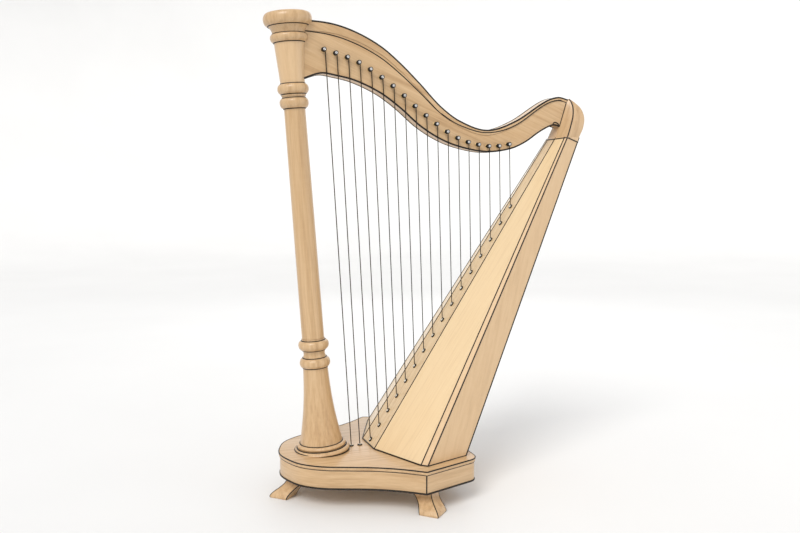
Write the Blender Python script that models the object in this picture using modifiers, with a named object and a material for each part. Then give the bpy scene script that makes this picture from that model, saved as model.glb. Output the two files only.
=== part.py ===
# Floor-standing harp: turned column, curved neck, pitched soundbox, low base on four feet,
# eighteen strings wound on turning pins.
# Metres, +Z up. X runs from the column to the back of the soundbox, the strings lie near y = 0.
# The player sits behind the soundbox, so the player's left hand is at -Y.
# The origin is at floor level, in the middle of the object's length and width.

import math

import bmesh
import bpy
from mathutils import Matrix, Vector

# Fits
FIT_GAP = 0.0003            # air between two faces that touch on the real instrument
PIN_CLEARANCE = 0.0004      # radial play of a tuning pin in its bore
CORD_CLEARANCE = 0.0005     # between the turns of a string, and between a turn and its pin

# Column lengths along its axis, from the base upwards
COLUMN_LEAN = math.radians(4.06)
COLUMN_SIDES = 30
PLINTH_HEIGHT = 0.0145
FOOT_BEAD_HEIGHT = 0.0125
BELL_HEIGHT = 0.238
LOWER_BEAD_HEIGHT = 0.030       # each of the two beads of the lower collar
WAIST_HEIGHT = 0.024
LOWER_FILLET_HEIGHT = 0.006
SHAFT_HEIGHT = 0.697
UPPER_BEAD_HEIGHT = 0.030       # each of the two beads of the upper collar
UPPER_FILLET_HEIGHT = 0.006     # each of the two steps between them
DRUM_HEIGHT = 0.120
CAPITAL_BEAD_HEIGHT = 0.0245
CAPITAL_SWEEP_HEIGHT = 0.0235
CROWN_HEIGHT = 0.038
COLUMN_FOOT_HEIGHT = PLINTH_HEIGHT + FOOT_BEAD_HEIGHT
LOWER_COLLAR_HEIGHT = 2 * LOWER_BEAD_HEIGHT + WAIST_HEIGHT + LOWER_FILLET_HEIGHT
UPPER_COLLAR_HEIGHT = 2 * UPPER_BEAD_HEIGHT + 2 * UPPER_FILLET_HEIGHT
CAPITAL_HEIGHT = DRUM_HEIGHT + CAPITAL_BEAD_HEIGHT + CAPITAL_SWEEP_HEIGHT + CROWN_HEIGHT
CAPITAL_FOOT = COLUMN_FOOT_HEIGHT + BELL_HEIGHT + LOWER_COLLAR_HEIGHT + SHAFT_HEIGHT + UPPER_COLLAR_HEIGHT

# Column radii
PLINTH_RADIUS = 0.084
FOOT_BEAD_RADIUS = 0.075
BELL_FOOT_RADIUS = 0.066
BELL_TOP_RADIUS = 0.038
BELL_HOLLOW = 0.0055            # how far the bell's side is drawn in from a straight taper
LOWER_BEAD_RADIUS = 0.047
WAIST_RADIUS = 0.033
SHAFT_FOOT_RADIUS = 0.0343
SHAFT_TOP_RADIUS = 0.0318
UPPER_BEAD_RADIUS = 0.0432
UPPER_RING_RADIUS = 0.0468
CAPITAL_FOOT_RADIUS = 0.0363
CAPITAL_TOP_RADIUS = 0.0458
CAPITAL_BEAD_RADIUS = 0.0561
CROWN_NECK_RADIUS = 0.0487
CROWN_LIP_RADIUS = 0.0597
CROWN_RADIUS = 0.0725
CAPITAL_HOLLOW = 0.003
QUIRK = 0.002                   # step from a bead down to the piece beside it

# Base
FOOT_HEIGHT = 0.065
BASE_HEIGHT = 0.070             # from the underside of the base to its top
BASE_TOP_Z = FOOT_HEIGHT + BASE_HEIGHT
BASE_TOP_THICKNESS = 0.012
BASE_BOTTOM_THICKNESS = 0.010
BASE_WALL = 0.020
BASE_OVERHANG = 0.004           # the top board stands this far proud of the body
BASE_MARGIN = 0.051             # from the column's plinth to the front of the base
BASE_FRONT_X = -(PLINTH_RADIUS + BASE_MARGIN)
BASE_CORNER_X = 0.230
BASE_BACK_X = 0.425
BASE_HALF_WIDTH = 0.312         # at the corners behind the S-shaped flanks
BASE_BACK_HALF_WIDTH = BASE_HALF_WIDTH - 0.091
BASE_BACK_RADIUS = 0.045
BASE_BACK_SETTING = 0.2         # share of that radius by which its centre is set in from the half width
BASE_BACK_SWEEP = math.radians(62)
# S-shaped flank, as shares of the way from the front to the corner and of the half width
BASE_FLANK = ((0.0, 0.0), (0.036, 0.199), (0.112, 0.378), (0.260, 0.522), (0.452, 0.619), (0.644, 0.712),
              (0.830, 0.840), (1.0, 1.0))
FLANK_STEPS = 3
BACK_STEPS = 5
BOARD_EASE = 0.0015             # chamfer along the edges of the base, the neck and its cap

# Feet: one under each point of the base's diamond, square in section with a corner pointing outwards,
# an ogee sweep from top to toe
FOOT_TOP_HALF = 0.056
FOOT_ANKLE_HALF = 0.038
FOOT_TOE_HALF = 0.044
FOOT_SWEEP = 0.062
FRONT_FOOT_X = BASE_FRONT_X + 0.073
SIDE_FOOT_X = BASE_CORNER_X + 0.026
SIDE_FOOT_Y = BASE_HALF_WIDTH - 0.084
BACK_FOOT_X = BASE_BACK_X - 0.079

# Neck and shoulder: heights are counted from the foot of the capital, where the neck meets the column
NECK_LEVEL = BASE_TOP_Z + CAPITAL_FOOT * math.cos(COLUMN_LEAN)
NECK_THICKNESS = 0.044
CAP_OVERHANG = 0.002            # the cap stands this far proud of each face of the neck
CAP_THICKNESS = NECK_THICKNESS + 2 * CAP_OVERHANG
CAP_HEIGHT_AT_COLUMN = 0.031
CAP_HEIGHT_AT_SHOULDER = 0.010
NECK_ROOT = 0.0076              # from the capital's axis to the squared start of the neck inside it
NECK_START_X = NECK_ROOT - CAPITAL_FOOT * math.sin(COLUMN_LEAN)
NECK_STEP = 0.024               # spacing of the points along the curved edges


def at_neck_level(points):
    """Points (x, height) with their heights counted from the neck's level."""
    return tuple((x, NECK_LEVEL + height) for x, height in points)


NECK_TOP = at_neck_level(((-0.072, 0.1858), (0.031, 0.1808), (0.108, 0.1608), (0.188, 0.1228), (0.252, 0.0748),
                          (0.319, 0.0138), (0.386, -0.0512), (0.455, -0.0962), (0.550, -0.1222),
                          (0.651, -0.0912), (0.761, -0.0240), (0.808, -0.0090), (0.843, -0.0152)))
NECK_UNDER = at_neck_level(((-0.072, 0.0058), (-0.001, 0.0318), (0.045, 0.0278), (0.108, 0.0148),
                            (0.187, -0.0182), (0.252, -0.0612), (0.319, -0.1152), (0.387, -0.1542),
                            (0.456, -0.1782), (0.548, -0.1922), (0.634, -0.1812), (0.689, -0.1582),
                            (0.744, -0.1222), (0.790, -0.1012), (0.815, -0.1052)))
SEAM = at_neck_level(((0.815, -0.1062), (0.8435, -0.0142)))     # neck to shoulder, from below upwards
# Shoulder sections: height, ridge x, back x, half widths at the ridge and the back
SHOULDER = ((-0.1062, 0.836, 0.897, 0.059, 0.043),
            (-0.0742, 0.848, 0.903, 0.052, 0.040),
            (-0.0442, 0.854, 0.893, 0.042, 0.034),
            (-0.0242, 0.853, 0.872, 0.031, 0.027),
            (-0.0142, 0.850, 0.856, 0.023, 0.021))

# Soundbox: corners of the foot section as (x, half width), from the string band round to the back
BOX_DROP = 0.1412               # from the neck's level down to the top of the soundbox
BOX_TOP_Z = NECK_LEVEL - BOX_DROP
BOX_WALL = 0.007
BOX_FOOT = {"band": (0.151, 0.060),
            "board": (BASE_CORNER_X + 0.002, BASE_HALF_WIDTH - 0.056),
            "edge": (BASE_CORNER_X + 0.018, BASE_HALF_WIDTH - 0.041),
            "back": (BASE_BACK_X - 0.030, BASE_BACK_HALF_WIDTH - 0.004)}
BOX_ORDER = ("band", "board", "edge", "back")
BAND_HEAD = (0.801, CAP_THICKNESS / 2)
HEAD_WIDTHS = {"board": 0.0368, "edge": 0.0095, "back": 0.060}      # of the panels, at the head
SOUND_HOLE_SPOTS = (0.14, 0.33, 0.51, 0.67)     # shares of the back's length
SOUND_HOLE_HALF_LENGTH = 0.052
SOUND_HOLE_HALF_WIDTH = 0.036
SOUND_HOLE_SHRINK = 0.45                        # how much smaller a hole would be at the head
SOUND_HOLE_SIDES = 20
BRACE_SPOT = 0.42
BRACE_THICKNESS = 0.014
BRACE_OPEN_SHARE = 0.80

# Strings
STRING_COUNT = 18
BASE_STRING_COUNT = 2           # the longest strings end in the base, the others in the soundbox
STRING_THICKEST = 0.0026
STRING_THINNEST = 0.0014
WINDING_TURNS = 2
WINDING_POINTS = 10             # points in each turn
BASE_EYE_FIRST_X = 0.0955
BASE_EYE_PITCH = 0.0285
BAND_EYE_FIRST_X = BOX_FOOT["band"][0] + 0.0095
BAND_EYE_PITCH = 0.0291
BAND_EYE_GROWTH = 0.00050       # each gap between eyelets is this much wider than the one before

# Eyelets and knots, sized to pass the thickest string
EYELET_BORE_RADIUS = STRING_THICKEST / 2 + 0.0018
EYELET_RADIUS = EYELET_BORE_RADIUS + 0.0021
EYELET_HEIGHT = 0.0012
EYELET_SIDES = 10
EYELET_ROOT = 0.0010            # how deep an eyelet's collar reaches into its board
KNOT_RADIUS = EYELET_BORE_RADIUS + 0.0014
KNOT_LENGTH = 0.0050
KNOT_SHOULDER = 0.0002
TAIL_TAPER = 0.0015
TAIL_LENGTH = 0.0045            # of the string's loose end beyond its knot
STRING_RISE = EYELET_HEIGHT + 0.0005    # the string turns into its eyelet this far above the board

# Tuning pins: the winding lies between the neck's left face and the pin's head
PIN_FIRST_X = 0.0076
PIN_PITCH = 0.03617
PIN_LINE = at_neck_level(((-0.020, 0.1028), (0.008, 0.1008), (0.112, 0.0700), (0.222, 0.0051), (0.332, -0.0824),
                          (0.444, -0.1512), (0.553, -0.1744), (0.6225, -0.1670), (0.650, -0.1612)))
PIN_SIDES = 10
PIN_RADIUS = 0.0040
PIN_TIP_RADIUS = 0.85 * PIN_RADIUS
PIN_SQUARE_HALF = 0.65 * PIN_RADIUS
PIN_HEAD_RADIUS = PIN_RADIUS + 0.0025
PIN_HEAD_THICKNESS = 0.0035
PIN_DIMPLE_RADIUS = 0.9 * PIN_RADIUS
PIN_DIMPLE_DEPTH = 0.0012
PIN_NECK_LENGTH = 0.0175        # from the neck's face to the back of the pin's head
STRING_PLANE_OFFSET = 0.009     # from the neck's left face to the middle of the winding
PIN_TIP_LENGTH = 0.002          # from the neck's right face to the pin's shoulder, and again to its square
PIN_SQUARE_LENGTH = 0.016

MERGE = 0.00001
CUT_MARGIN = 0.010              # how far a cutter stands clear of what it cuts


def clear_scene():
    for item in list(bpy.data.objects):
        bpy.data.objects.remove(item, do_unlink=True)


def make_collection(name):
    collection = bpy.data.collections.new(name)
    bpy.context.scene.collection.children.link(collection)
    return collection


def make_material(name, colour, roughness, metallic):
    material = bpy.data.materials.new(name)
    material.use_nodes = True
    shader = material.node_tree.nodes["Principled BSDF"]
    shader.inputs["Base Color"].default_value = (*colour, 1.0)
    shader.inputs["Roughness"].default_value = roughness
    shader.inputs["Metallic"].default_value = metallic
    material.diffuse_color = (*colour, 1.0)
    return material


def box_head():
    """Head section whose panels run parallel to those of the foot section, so that each panel is flat."""
    corners = {"band": BAND_HEAD}
    last = "band"
    for key, width in HEAD_WIDTHS.items():
        run = Vector(BOX_FOOT[key]) - Vector(BOX_FOOT[last])
        corners[key] = tuple(Vector(corners[last]) + run.normalized() * width)
        last = key
    return corners


BOX_HEAD = box_head()
clear_scene()
PARTS = make_collection("harp")
CUTTERS = make_collection("harp_cutters")
FRAME_WOOD = make_material("frame_wood", (0.42, 0.20, 0.085), 0.32, 0.0)
BOARD_WOOD = make_material("board_wood", (0.72, 0.50, 0.27), 0.38, 0.0)
STEEL = make_material("pin_steel", (0.62, 0.60, 0.57), 0.26, 1.0)
GUT = make_material("string_gut", (0.85, 0.80, 0.68), 0.45, 0.0)


def add_object(name, data, material):
    item = bpy.data.objects.new(name, data)
    if material is not None:
        data.materials.append(material)
    PARTS.objects.link(item)
    return item


def add_cutter(name, data):
    item = bpy.data.objects.new(name, data)
    item.hide_render = True
    item.display_type = "WIRE"
    CUTTERS.objects.link(item)
    return item


def make_cutter(item):
    """Turns a finished part into a cutter."""
    PARTS.objects.unlink(item)
    CUTTERS.objects.link(item)
    item.hide_render = True
    item.display_type = "WIRE"


def combine(item, other, operation):
    step = item.modifiers.new(other.name, "BOOLEAN")
    step.operation = operation
    step.object = other


def smooth_height(points, x):
    """Height at x of a smooth curve through points that run along +X."""
    last = len(points) - 2
    index = max(0, min(last, sum(1 for point in points if point[0] <= x) - 1))
    x0, z0 = points[index]
    x1, z1 = points[index + 1]
    before = points[max(0, index - 1)]
    after = points[min(last + 1, index + 2)]
    slope0 = (z1 - before[1]) / (x1 - before[0])
    slope1 = (after[1] - z0) / (after[0] - x0)
    span = x1 - x0
    t = (x - x0) / span
    rise = z0 + (z1 - z0) * (3 * t ** 2 - 2 * t ** 3)
    return rise + span * (slope0 * (t ** 3 - 2 * t ** 2 + t) + slope1 * (t ** 3 - t ** 2))


def spaced(start, end, step):
    count = max(1, math.ceil(abs(end - start) / step))
    return [start + (end - start) * index / count for index in range(count + 1)]


def loft(rings):
    """Closed mesh through rings of equally many points, each ring seen anticlockwise from the last one."""
    mesh = bmesh.new()
    rows = [[mesh.verts.new(point) for point in ring] for ring in rings]
    count = len(rows[0])
    for lower, upper in zip(rows, rows[1:]):
        for index in range(count):
            after = (index + 1) % count
            mesh.faces.new((lower[index], lower[after], upper[after], upper[index]))
    mesh.faces.new(list(reversed(rows[0])))
    mesh.faces.new(rows[-1])
    bmesh.ops.recalc_face_normals(mesh, faces=mesh.faces)
    data = bpy.data.meshes.new("loft")
    mesh.to_mesh(data)
    mesh.free()
    return data


def smooth(data, angle=35):
    data.shade_smooth()
    data.set_sharp_from_angle(angle=math.radians(angle))


# Turned pieces

def bead(start, end, swell, steps=5):
    """Points of a rounded ring from start to end, each (height, radius), swelling out to a radius of swell."""
    points = []
    for index in range(steps + 1):
        t = index / steps
        base = start[1] + (end[1] - start[1]) * t
        bulge = (swell - (start[1] + end[1]) / 2) * math.sqrt(max(0.0, 1 - (2 * t - 1) ** 2))
        points.append((start[0] + (end[0] - start[0]) * t, base + bulge))
    return points


def hollow(start, end, depth, steps=4):
    """Points of a concave sweep between two stations, drawn in by depth at the middle."""
    points = []
    for index in range(steps + 1):
        t = index / steps
        radius = start[1] + (end[1] - start[1]) * t - depth * math.sin(math.pi * t)
        points.append((start[0] + (end[0] - start[0]) * t, radius))
    return points


def turned_mesh(name, stations, grow=0.0):
    """Open profile from the axis, down the outer side and back to the axis, for a Screw modifier."""
    profile = []
    for height, radius in sorted(stations, key=lambda station: -station[0]):
        if not profile or abs(profile[-1][0] - height) > MERGE or abs(profile[-1][1] - radius) > MERGE:
            profile.append((height, radius + grow))
    points = [(0, 0, profile[0][0])]
    points += [(radius, 0, height) for height, radius in profile]
    points.append((0, 0, profile[-1][0]))
    data = bpy.data.meshes.new(name)
    data.from_pydata(points, [(index, index + 1) for index in range(len(points) - 1)], [])
    return data


def spin(item, sides):
    screw = item.modifiers.new("turn", "SCREW")
    screw.axis = "Z"
    screw.steps = sides
    screw.render_steps = sides
    screw.use_merge_vertices = True
    screw.merge_threshold = MERGE
    screw.use_smooth_shade = True


def column_matrix():
    """Places heights along the column's axis, counted from the top of the base."""
    return Matrix.Translation((0, 0, BASE_TOP_Z)) @ Matrix.Rotation(-COLUMN_LEAN, 4, "Y")


def column_piece(name, stations, bottom, height, first=False):
    """A turned length of the column, from bottom upwards, with half a joint gap at each end."""
    low = bottom if first else bottom + FIT_GAP / 2
    high = bottom + height - FIT_GAP / 2
    clipped = [(min(max(station[0], low), high), station[1]) for station in stations]
    item = add_object(name, turned_mesh(name, clipped), FRAME_WOOD)
    item.matrix_world = column_matrix()
    spin(item, COLUMN_SIDES)
    return item


def foot_stations(low):
    """Plinth ring, carried down to low, and the bead above it."""
    plinth = bead((0.0, PLINTH_RADIUS - QUIRK), (PLINTH_HEIGHT, FOOT_BEAD_RADIUS - 2 * QUIRK), PLINTH_RADIUS)
    ring = bead((PLINTH_HEIGHT, FOOT_BEAD_RADIUS - 2 * QUIRK), (COLUMN_FOOT_HEIGHT, BELL_FOOT_RADIUS + QUIRK / 2),
                FOOT_BEAD_RADIUS)
    upper_half = [station for station in plinth if station[0] > PLINTH_HEIGHT / 2]
    return [(low, PLINTH_RADIUS), (PLINTH_HEIGHT * 0.4, PLINTH_RADIUS)] + upper_half + ring


def lower_collar_stations(bottom):
    waist_foot = bottom + LOWER_BEAD_HEIGHT
    waist_top = waist_foot + WAIST_HEIGHT
    bead_top = waist_top + LOWER_BEAD_HEIGHT
    waist = WAIST_RADIUS + QUIRK
    end = SHAFT_FOOT_RADIUS + QUIRK
    stations = bead((bottom, BELL_TOP_RADIUS), (waist_foot, waist), LOWER_BEAD_RADIUS)
    stations += hollow((waist_foot, waist), (waist_top, waist), QUIRK)
    stations += bead((waist_top, waist), (bead_top, end), LOWER_BEAD_RADIUS)
    stations.append((bead_top + LOWER_FILLET_HEIGHT, end))
    return stations


def upper_collar_stations(bottom):
    bead_top = bottom + UPPER_BEAD_HEIGHT
    step = bead_top + UPPER_FILLET_HEIGHT
    ring_foot = step + UPPER_FILLET_HEIGHT
    inner = SHAFT_TOP_RADIUS + 1.5 * QUIRK
    outer = SHAFT_TOP_RADIUS + 2.5 * QUIRK
    stations = bead((bottom, SHAFT_TOP_RADIUS + QUIRK / 2), (bead_top, inner), UPPER_BEAD_RADIUS)
    stations += [(step, inner), (step, outer), (ring_foot, outer)]
    stations += bead((ring_foot, SHAFT_TOP_RADIUS + 2 * QUIRK), (bottom + UPPER_COLLAR_HEIGHT, CAPITAL_FOOT_RADIUS),
                     UPPER_RING_RADIUS)
    return stations


def capital_stations():
    """Tapered drum, bead, sweep and crown."""
    bead_foot = CAPITAL_FOOT + DRUM_HEIGHT
    sweep_foot = bead_foot + CAPITAL_BEAD_HEIGHT
    crown_foot = sweep_foot + CAPITAL_SWEEP_HEIGHT
    crown_top = crown_foot + CROWN_HEIGHT
    stations = [(CAPITAL_FOOT, CAPITAL_FOOT_RADIUS), (bead_foot, CAPITAL_TOP_RADIUS)]
    stations += bead((bead_foot, CAPITAL_TOP_RADIUS), (sweep_foot, CROWN_NECK_RADIUS), CAPITAL_BEAD_RADIUS)
    stations += hollow((sweep_foot, CROWN_NECK_RADIUS), (crown_foot, CROWN_LIP_RADIUS), CAPITAL_HOLLOW)
    stations += bead((crown_foot, CROWN_LIP_RADIUS), (crown_top, CROWN_LIP_RADIUS), CROWN_RADIUS, 7)
    return stations


def build_column():
    """The turned lengths from the base upwards."""
    low = -PLINTH_RADIUS * math.tan(COLUMN_LEAN) - CUT_MARGIN
    foot = column_piece("column_foot", foot_stations(low), low, COLUMN_FOOT_HEIGHT - low, first=True)
    width = 2 * (PLINTH_RADIUS + CUT_MARGIN)
    depth = 2 * (CUT_MARGIN - low)
    slab = add_cutter("column_foot_cut", box_mesh((0, 0, 0), (width, width, depth)))
    slab.location = (0, 0, BASE_TOP_Z + FIT_GAP - depth / 2)
    combine(foot, slab, "DIFFERENCE")

    bottom = COLUMN_FOOT_HEIGHT
    bell = hollow((bottom, BELL_FOOT_RADIUS), (bottom + BELL_HEIGHT, BELL_TOP_RADIUS), BELL_HOLLOW, 8)
    column_piece("column_bell", bell, bottom, BELL_HEIGHT)
    bottom += BELL_HEIGHT
    column_piece("column_lower_collar", lower_collar_stations(bottom), bottom, LOWER_COLLAR_HEIGHT)
    bottom += LOWER_COLLAR_HEIGHT
    shaft = [(bottom, SHAFT_FOOT_RADIUS), (bottom + SHAFT_HEIGHT, SHAFT_TOP_RADIUS)]
    column_piece("column_shaft", shaft, bottom, SHAFT_HEIGHT)
    bottom += SHAFT_HEIGHT
    column_piece("column_upper_collar", upper_collar_stations(bottom), bottom, UPPER_COLLAR_HEIGHT)
    column_piece("column_capital", capital_stations(), CAPITAL_FOOT, CAPITAL_HEIGHT)


def neck_seat_cutter():
    """The capital grown by the joint's gap, which shapes the end of the neck."""
    scoop = add_cutter("neck_seat_cut", turned_mesh("neck_seat_cut", capital_stations(), FIT_GAP))
    scoop.matrix_world = column_matrix()
    spin(scoop, COLUMN_SIDES)
    return scoop


# Flat pieces

def box_mesh(centre, size):
    mesh = bmesh.new()
    bmesh.ops.create_cube(mesh, size=1.0, matrix=Matrix.Translation(centre) @ Matrix.Diagonal((*size, 1)))
    data = bpy.data.meshes.new("box")
    mesh.to_mesh(data)
    mesh.free()
    return data


def plate(name, outlines, thickness, place, material, ease=0.0):
    """Solid plate from closed 2D outlines, the second one a hole, centred on the plane that place sets.
    ease is the chamfer along its edges."""
    curve = bpy.data.curves.new(name, "CURVE")
    curve.dimensions = "2D"
    curve.fill_mode = "BOTH"
    curve.extrude = thickness / 2 - ease
    curve.bevel_depth = ease
    curve.bevel_resolution = 0
    curve.offset = -ease
    for outline in outlines:
        spline = curve.splines.new("POLY")
        spline.points.add(len(outline) - 1)
        for point, (u, v) in zip(spline.points, outline):
            point.co = (u, v, 0, 1)
        spline.use_cyclic_u = True
    source = bpy.data.objects.new(name + "_outline", curve)
    PARTS.objects.link(source)
    bpy.context.view_layer.update()
    evaluated = source.evaluated_get(bpy.context.evaluated_depsgraph_get())
    data = bpy.data.meshes.new_from_object(evaluated)
    bpy.data.objects.remove(source, do_unlink=True)
    mesh = bmesh.new()
    mesh.from_mesh(data)
    bmesh.ops.remove_doubles(mesh, verts=mesh.verts, dist=MERGE)
    bmesh.ops.recalc_face_normals(mesh, faces=mesh.faces)
    mesh.to_mesh(data)
    mesh.free()
    data.materials.clear()
    item = add_object(name, data, material)
    item.matrix_world = place
    return item


def catmull(before, start, end, after, t):
    """Point at t on the smooth curve from start to end."""
    return (2 * start + (end - before) * t + (2 * before - 5 * start + 4 * end - after) * t ** 2
            + (3 * start - before - 3 * end + after) * t ** 3) / 2


def base_outline(inset):
    """Outline of the base drawn in by inset: rounded front, S-shaped flanks, corners and rounded back."""
    span = BASE_CORNER_X - BASE_FRONT_X
    flank = [Vector((BASE_FRONT_X + along * span, across * BASE_HALF_WIDTH, 0)) for along, across in BASE_FLANK]
    mirrored_first = Vector((flank[1].x, -flank[1].y, 0))
    guide = [mirrored_first] + flank + [flank[-1]]
    half = []
    for index in range(len(flank) - 1):
        for step in range(FLANK_STEPS):
            half.append(catmull(*guide[index:index + 4], step / FLANK_STEPS))
    half.append(flank[-1])
    radius = BASE_BACK_RADIUS
    centre = Vector((BASE_BACK_X - radius, BASE_BACK_HALF_WIDTH - radius * BASE_BACK_SETTING, 0))
    for step in range(BACK_STEPS + 1):
        angle = BASE_BACK_SWEEP * (1 - step / BACK_STEPS)
        half.append(centre + Vector((math.cos(angle), math.sin(angle), 0)) * radius)
    mirror = [Vector((point.x, -point.y, 0)) for point in reversed(half[1:])]
    outline = (half + mirror)[::-1]
    return [(point.x, point.y) for point in inner_section(outline, inset)]


def level(height):
    return Matrix.Translation((0, 0, height))


def eyelet_collar(name, point, normal):
    """Short round collar whose axis is the board's normal."""
    mesh = bmesh.new()
    depth = EYELET_HEIGHT + EYELET_ROOT
    bmesh.ops.create_cone(mesh, cap_ends=True, segments=EYELET_SIDES, radius1=EYELET_RADIUS,
                          radius2=EYELET_RADIUS, depth=depth)
    data = bpy.data.meshes.new(name)
    mesh.to_mesh(data)
    mesh.free()
    item = add_cutter(name, data)
    turn = normal.to_track_quat("Z", "Y").to_matrix().to_4x4()
    item.matrix_world = Matrix.Translation(point + normal * (EYELET_HEIGHT - EYELET_ROOT) / 2) @ turn
    return item


def bore(name, point, axis, radius, length, sides):
    mesh = bmesh.new()
    bmesh.ops.create_cone(mesh, cap_ends=True, segments=sides, radius1=radius, radius2=radius, depth=length)
    data = bpy.data.meshes.new(name)
    mesh.to_mesh(data)
    mesh.free()
    item = add_cutter(name, data)
    item.matrix_world = Matrix.Translation(point) @ axis.to_track_quat("Z", "Y").to_matrix().to_4x4()
    return item


def add_eyelets(board, points, normal):
    """Raised collars fused to the board, each bored right through."""
    for index, point in enumerate(points):
        collar = eyelet_collar(f"{board.name}_collar_{index + 1:02d}", point, normal)
        combine(board, collar, "UNION")
    for index, point in enumerate(points):
        length = 2 * (BASE_TOP_THICKNESS + CUT_MARGIN)
        hole = bore(f"{board.name}_eye_{index + 1:02d}", point, normal, EYELET_BORE_RADIUS, length, EYELET_SIDES)
        combine(board, hole, "DIFFERENCE")


def build_base(eyes):
    top_middle = BASE_TOP_Z - BASE_TOP_THICKNESS / 2
    top = plate("base_top", [base_outline(0.0)], BASE_TOP_THICKNESS, level(top_middle), FRAME_WOOD, BOARD_EASE)
    add_eyelets(top, eyes, Vector((0, 0, 1)))
    body_high = BASE_TOP_Z - BASE_TOP_THICKNESS - FIT_GAP
    body = plate("base_body", [base_outline(BASE_OVERHANG)], body_high - FOOT_HEIGHT,
                 level((FOOT_HEIGHT + body_high) / 2), FRAME_WOOD, BOARD_EASE)
    pocket_low = FOOT_HEIGHT + BASE_BOTTOM_THICKNESS
    pocket = plate("base_pocket_cut", [base_outline(BASE_OVERHANG + BASE_WALL)], BASE_HEIGHT,
                   level(pocket_low + BASE_HEIGHT / 2), FRAME_WOOD)
    make_cutter(pocket)
    combine(body, pocket, "DIFFERENCE")


# Sections of a foot: share of the height, share of the sweep, half diagonal
FOOT_SECTIONS = ((0.0, 1.0, FOOT_TOE_HALF * 0.94), (0.10, 0.99, FOOT_TOE_HALF), (0.25, 0.86, FOOT_TOE_HALF * 0.95),
                 (0.42, 0.62, FOOT_ANKLE_HALF), (0.60, 0.36, FOOT_ANKLE_HALF), (0.80, 0.12, FOOT_ANKLE_HALF * 1.16),
                 (1.0, 0.0, FOOT_TOP_HALF))


def build_foot(name, place, outward):
    """Ogee foot: square sections that swing outwards and swell again at the toe."""
    top = FOOT_HEIGHT - FIT_GAP
    side = Vector((-outward.y, outward.x, 0))
    rings = []
    for share, sweep, half in FOOT_SECTIONS:
        centre = place + outward * FOOT_SWEEP * sweep + Vector((0, 0, top * share))
        rings.append([centre + outward * half, centre + side * half, centre - outward * half, centre - side * half])
    return add_object(name, loft(rings), FRAME_WOOD)


# Soundbox

def box_section(section, z):
    """Corners of a full horizontal section: left side from front to back, then the right side back again."""
    left = [Vector((section[key][0], -section[key][1], z)) for key in BOX_ORDER]
    right = [Vector((point.x, -point.y, z)) for point in reversed(left)]
    return left + right


def inner_section(outer, wall):
    """The section drawn in by the wall, corner by corner."""
    count = len(outer)
    inner = []
    for index in range(count):
        before = (outer[index] - outer[index - 1]).normalized()
        after = (outer[(index + 1) % count] - outer[index]).normalized()
        turn_before = Vector((-before.y, before.x, 0))
        turn_after = Vector((-after.y, after.x, 0))
        mitre = (turn_before + turn_after).normalized()
        inner.append(outer[index] + mitre * wall / mitre.dot(turn_after))
    return inner


def at_height(lower, upper, z):
    """Section between two others at height z."""
    t = (z - lower[0].z) / (upper[0].z - lower[0].z)
    return [a.lerp(b, t) for a, b in zip(lower, upper)]


def panel_mesh(low, high):
    """Board between two cross sections; mitred faces that meet are split along the same diagonal."""
    mesh = bmesh.new()
    foot = [mesh.verts.new(point) for point in low]
    head = [mesh.verts.new(point) for point in high]
    mesh.faces.new(list(reversed(foot)))
    mesh.faces.new(head)
    for index, flip in enumerate((False, False, False, True)):
        after = (index + 1) % 4
        if flip:
            mesh.faces.new((foot[index], foot[after], head[index]))
            mesh.faces.new((foot[after], head[after], head[index]))
        else:
            mesh.faces.new((foot[index], foot[after], head[after]))
            mesh.faces.new((foot[index], head[after], head[index]))
    bmesh.ops.recalc_face_normals(mesh, faces=mesh.faces)
    data = bpy.data.meshes.new("panel")
    mesh.to_mesh(data)
    mesh.free()
    return data


def build_soundbox():
    low = BASE_TOP_Z + FIT_GAP
    high = BOX_TOP_Z - FIT_GAP
    foot = box_section(BOX_FOOT, BASE_TOP_Z)
    head = box_section(BOX_HEAD, BOX_TOP_Z)
    foot_inner = inner_section(foot, BOX_WALL)
    head_inner = inner_section(head, BOX_WALL)
    outer = (at_height(foot, head, low), at_height(foot, head, high))
    inner = (at_height(foot_inner, head_inner, low), at_height(foot_inner, head_inner, high))
    names = ("soundboard_left", "edge_moulding_left", "side_left", "soundbox_back", "side_right",
             "edge_moulding_right", "soundboard_right", "string_band")
    panels = {}
    count = len(names)
    for index, name in enumerate(names):
        after = (index + 1) % count
        rings = []
        for out, inn in zip(outer, inner):
            shift = (out[after] - out[index]).normalized() * FIT_GAP / 2
            rings.append([out[index] + shift, out[after] - shift, inn[after] - shift, inn[index] + shift])
        wood = BOARD_WOOD if name.startswith(("soundboard", "string_band")) else FRAME_WOOD
        panels[name] = add_object(name, panel_mesh(*rings), wood)
    add_sound_holes(panels["soundbox_back"])
    build_brace(foot, head)
    return panels


def add_sound_holes(back):
    foot = Vector((BOX_FOOT["back"][0], 0, BASE_TOP_Z))
    head = Vector((BOX_HEAD["back"][0], 0, BOX_TOP_Z))
    along = (head - foot).normalized()
    normal = Vector((along.z, 0, -along.x))
    turn = Matrix((along, Vector((0, 1, 0)), normal)).transposed().to_4x4()
    for index, spot in enumerate(SOUND_HOLE_SPOTS):
        size = 1 - SOUND_HOLE_SHRINK * spot
        depth = 2 * (BOX_WALL + CUT_MARGIN)
        hole = bore(f"sound_hole_cut_{index + 1}", Vector(), Vector((0, 0, 1)), 1.0, depth, SOUND_HOLE_SIDES)
        stretch = Matrix.Diagonal((SOUND_HOLE_HALF_LENGTH * size, SOUND_HOLE_HALF_WIDTH * size, 1, 1))
        hole.data.transform(stretch)
        hole.matrix_world = Matrix.Translation(foot.lerp(head, spot)) @ turn
        combine(back, hole, "DIFFERENCE")


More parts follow.
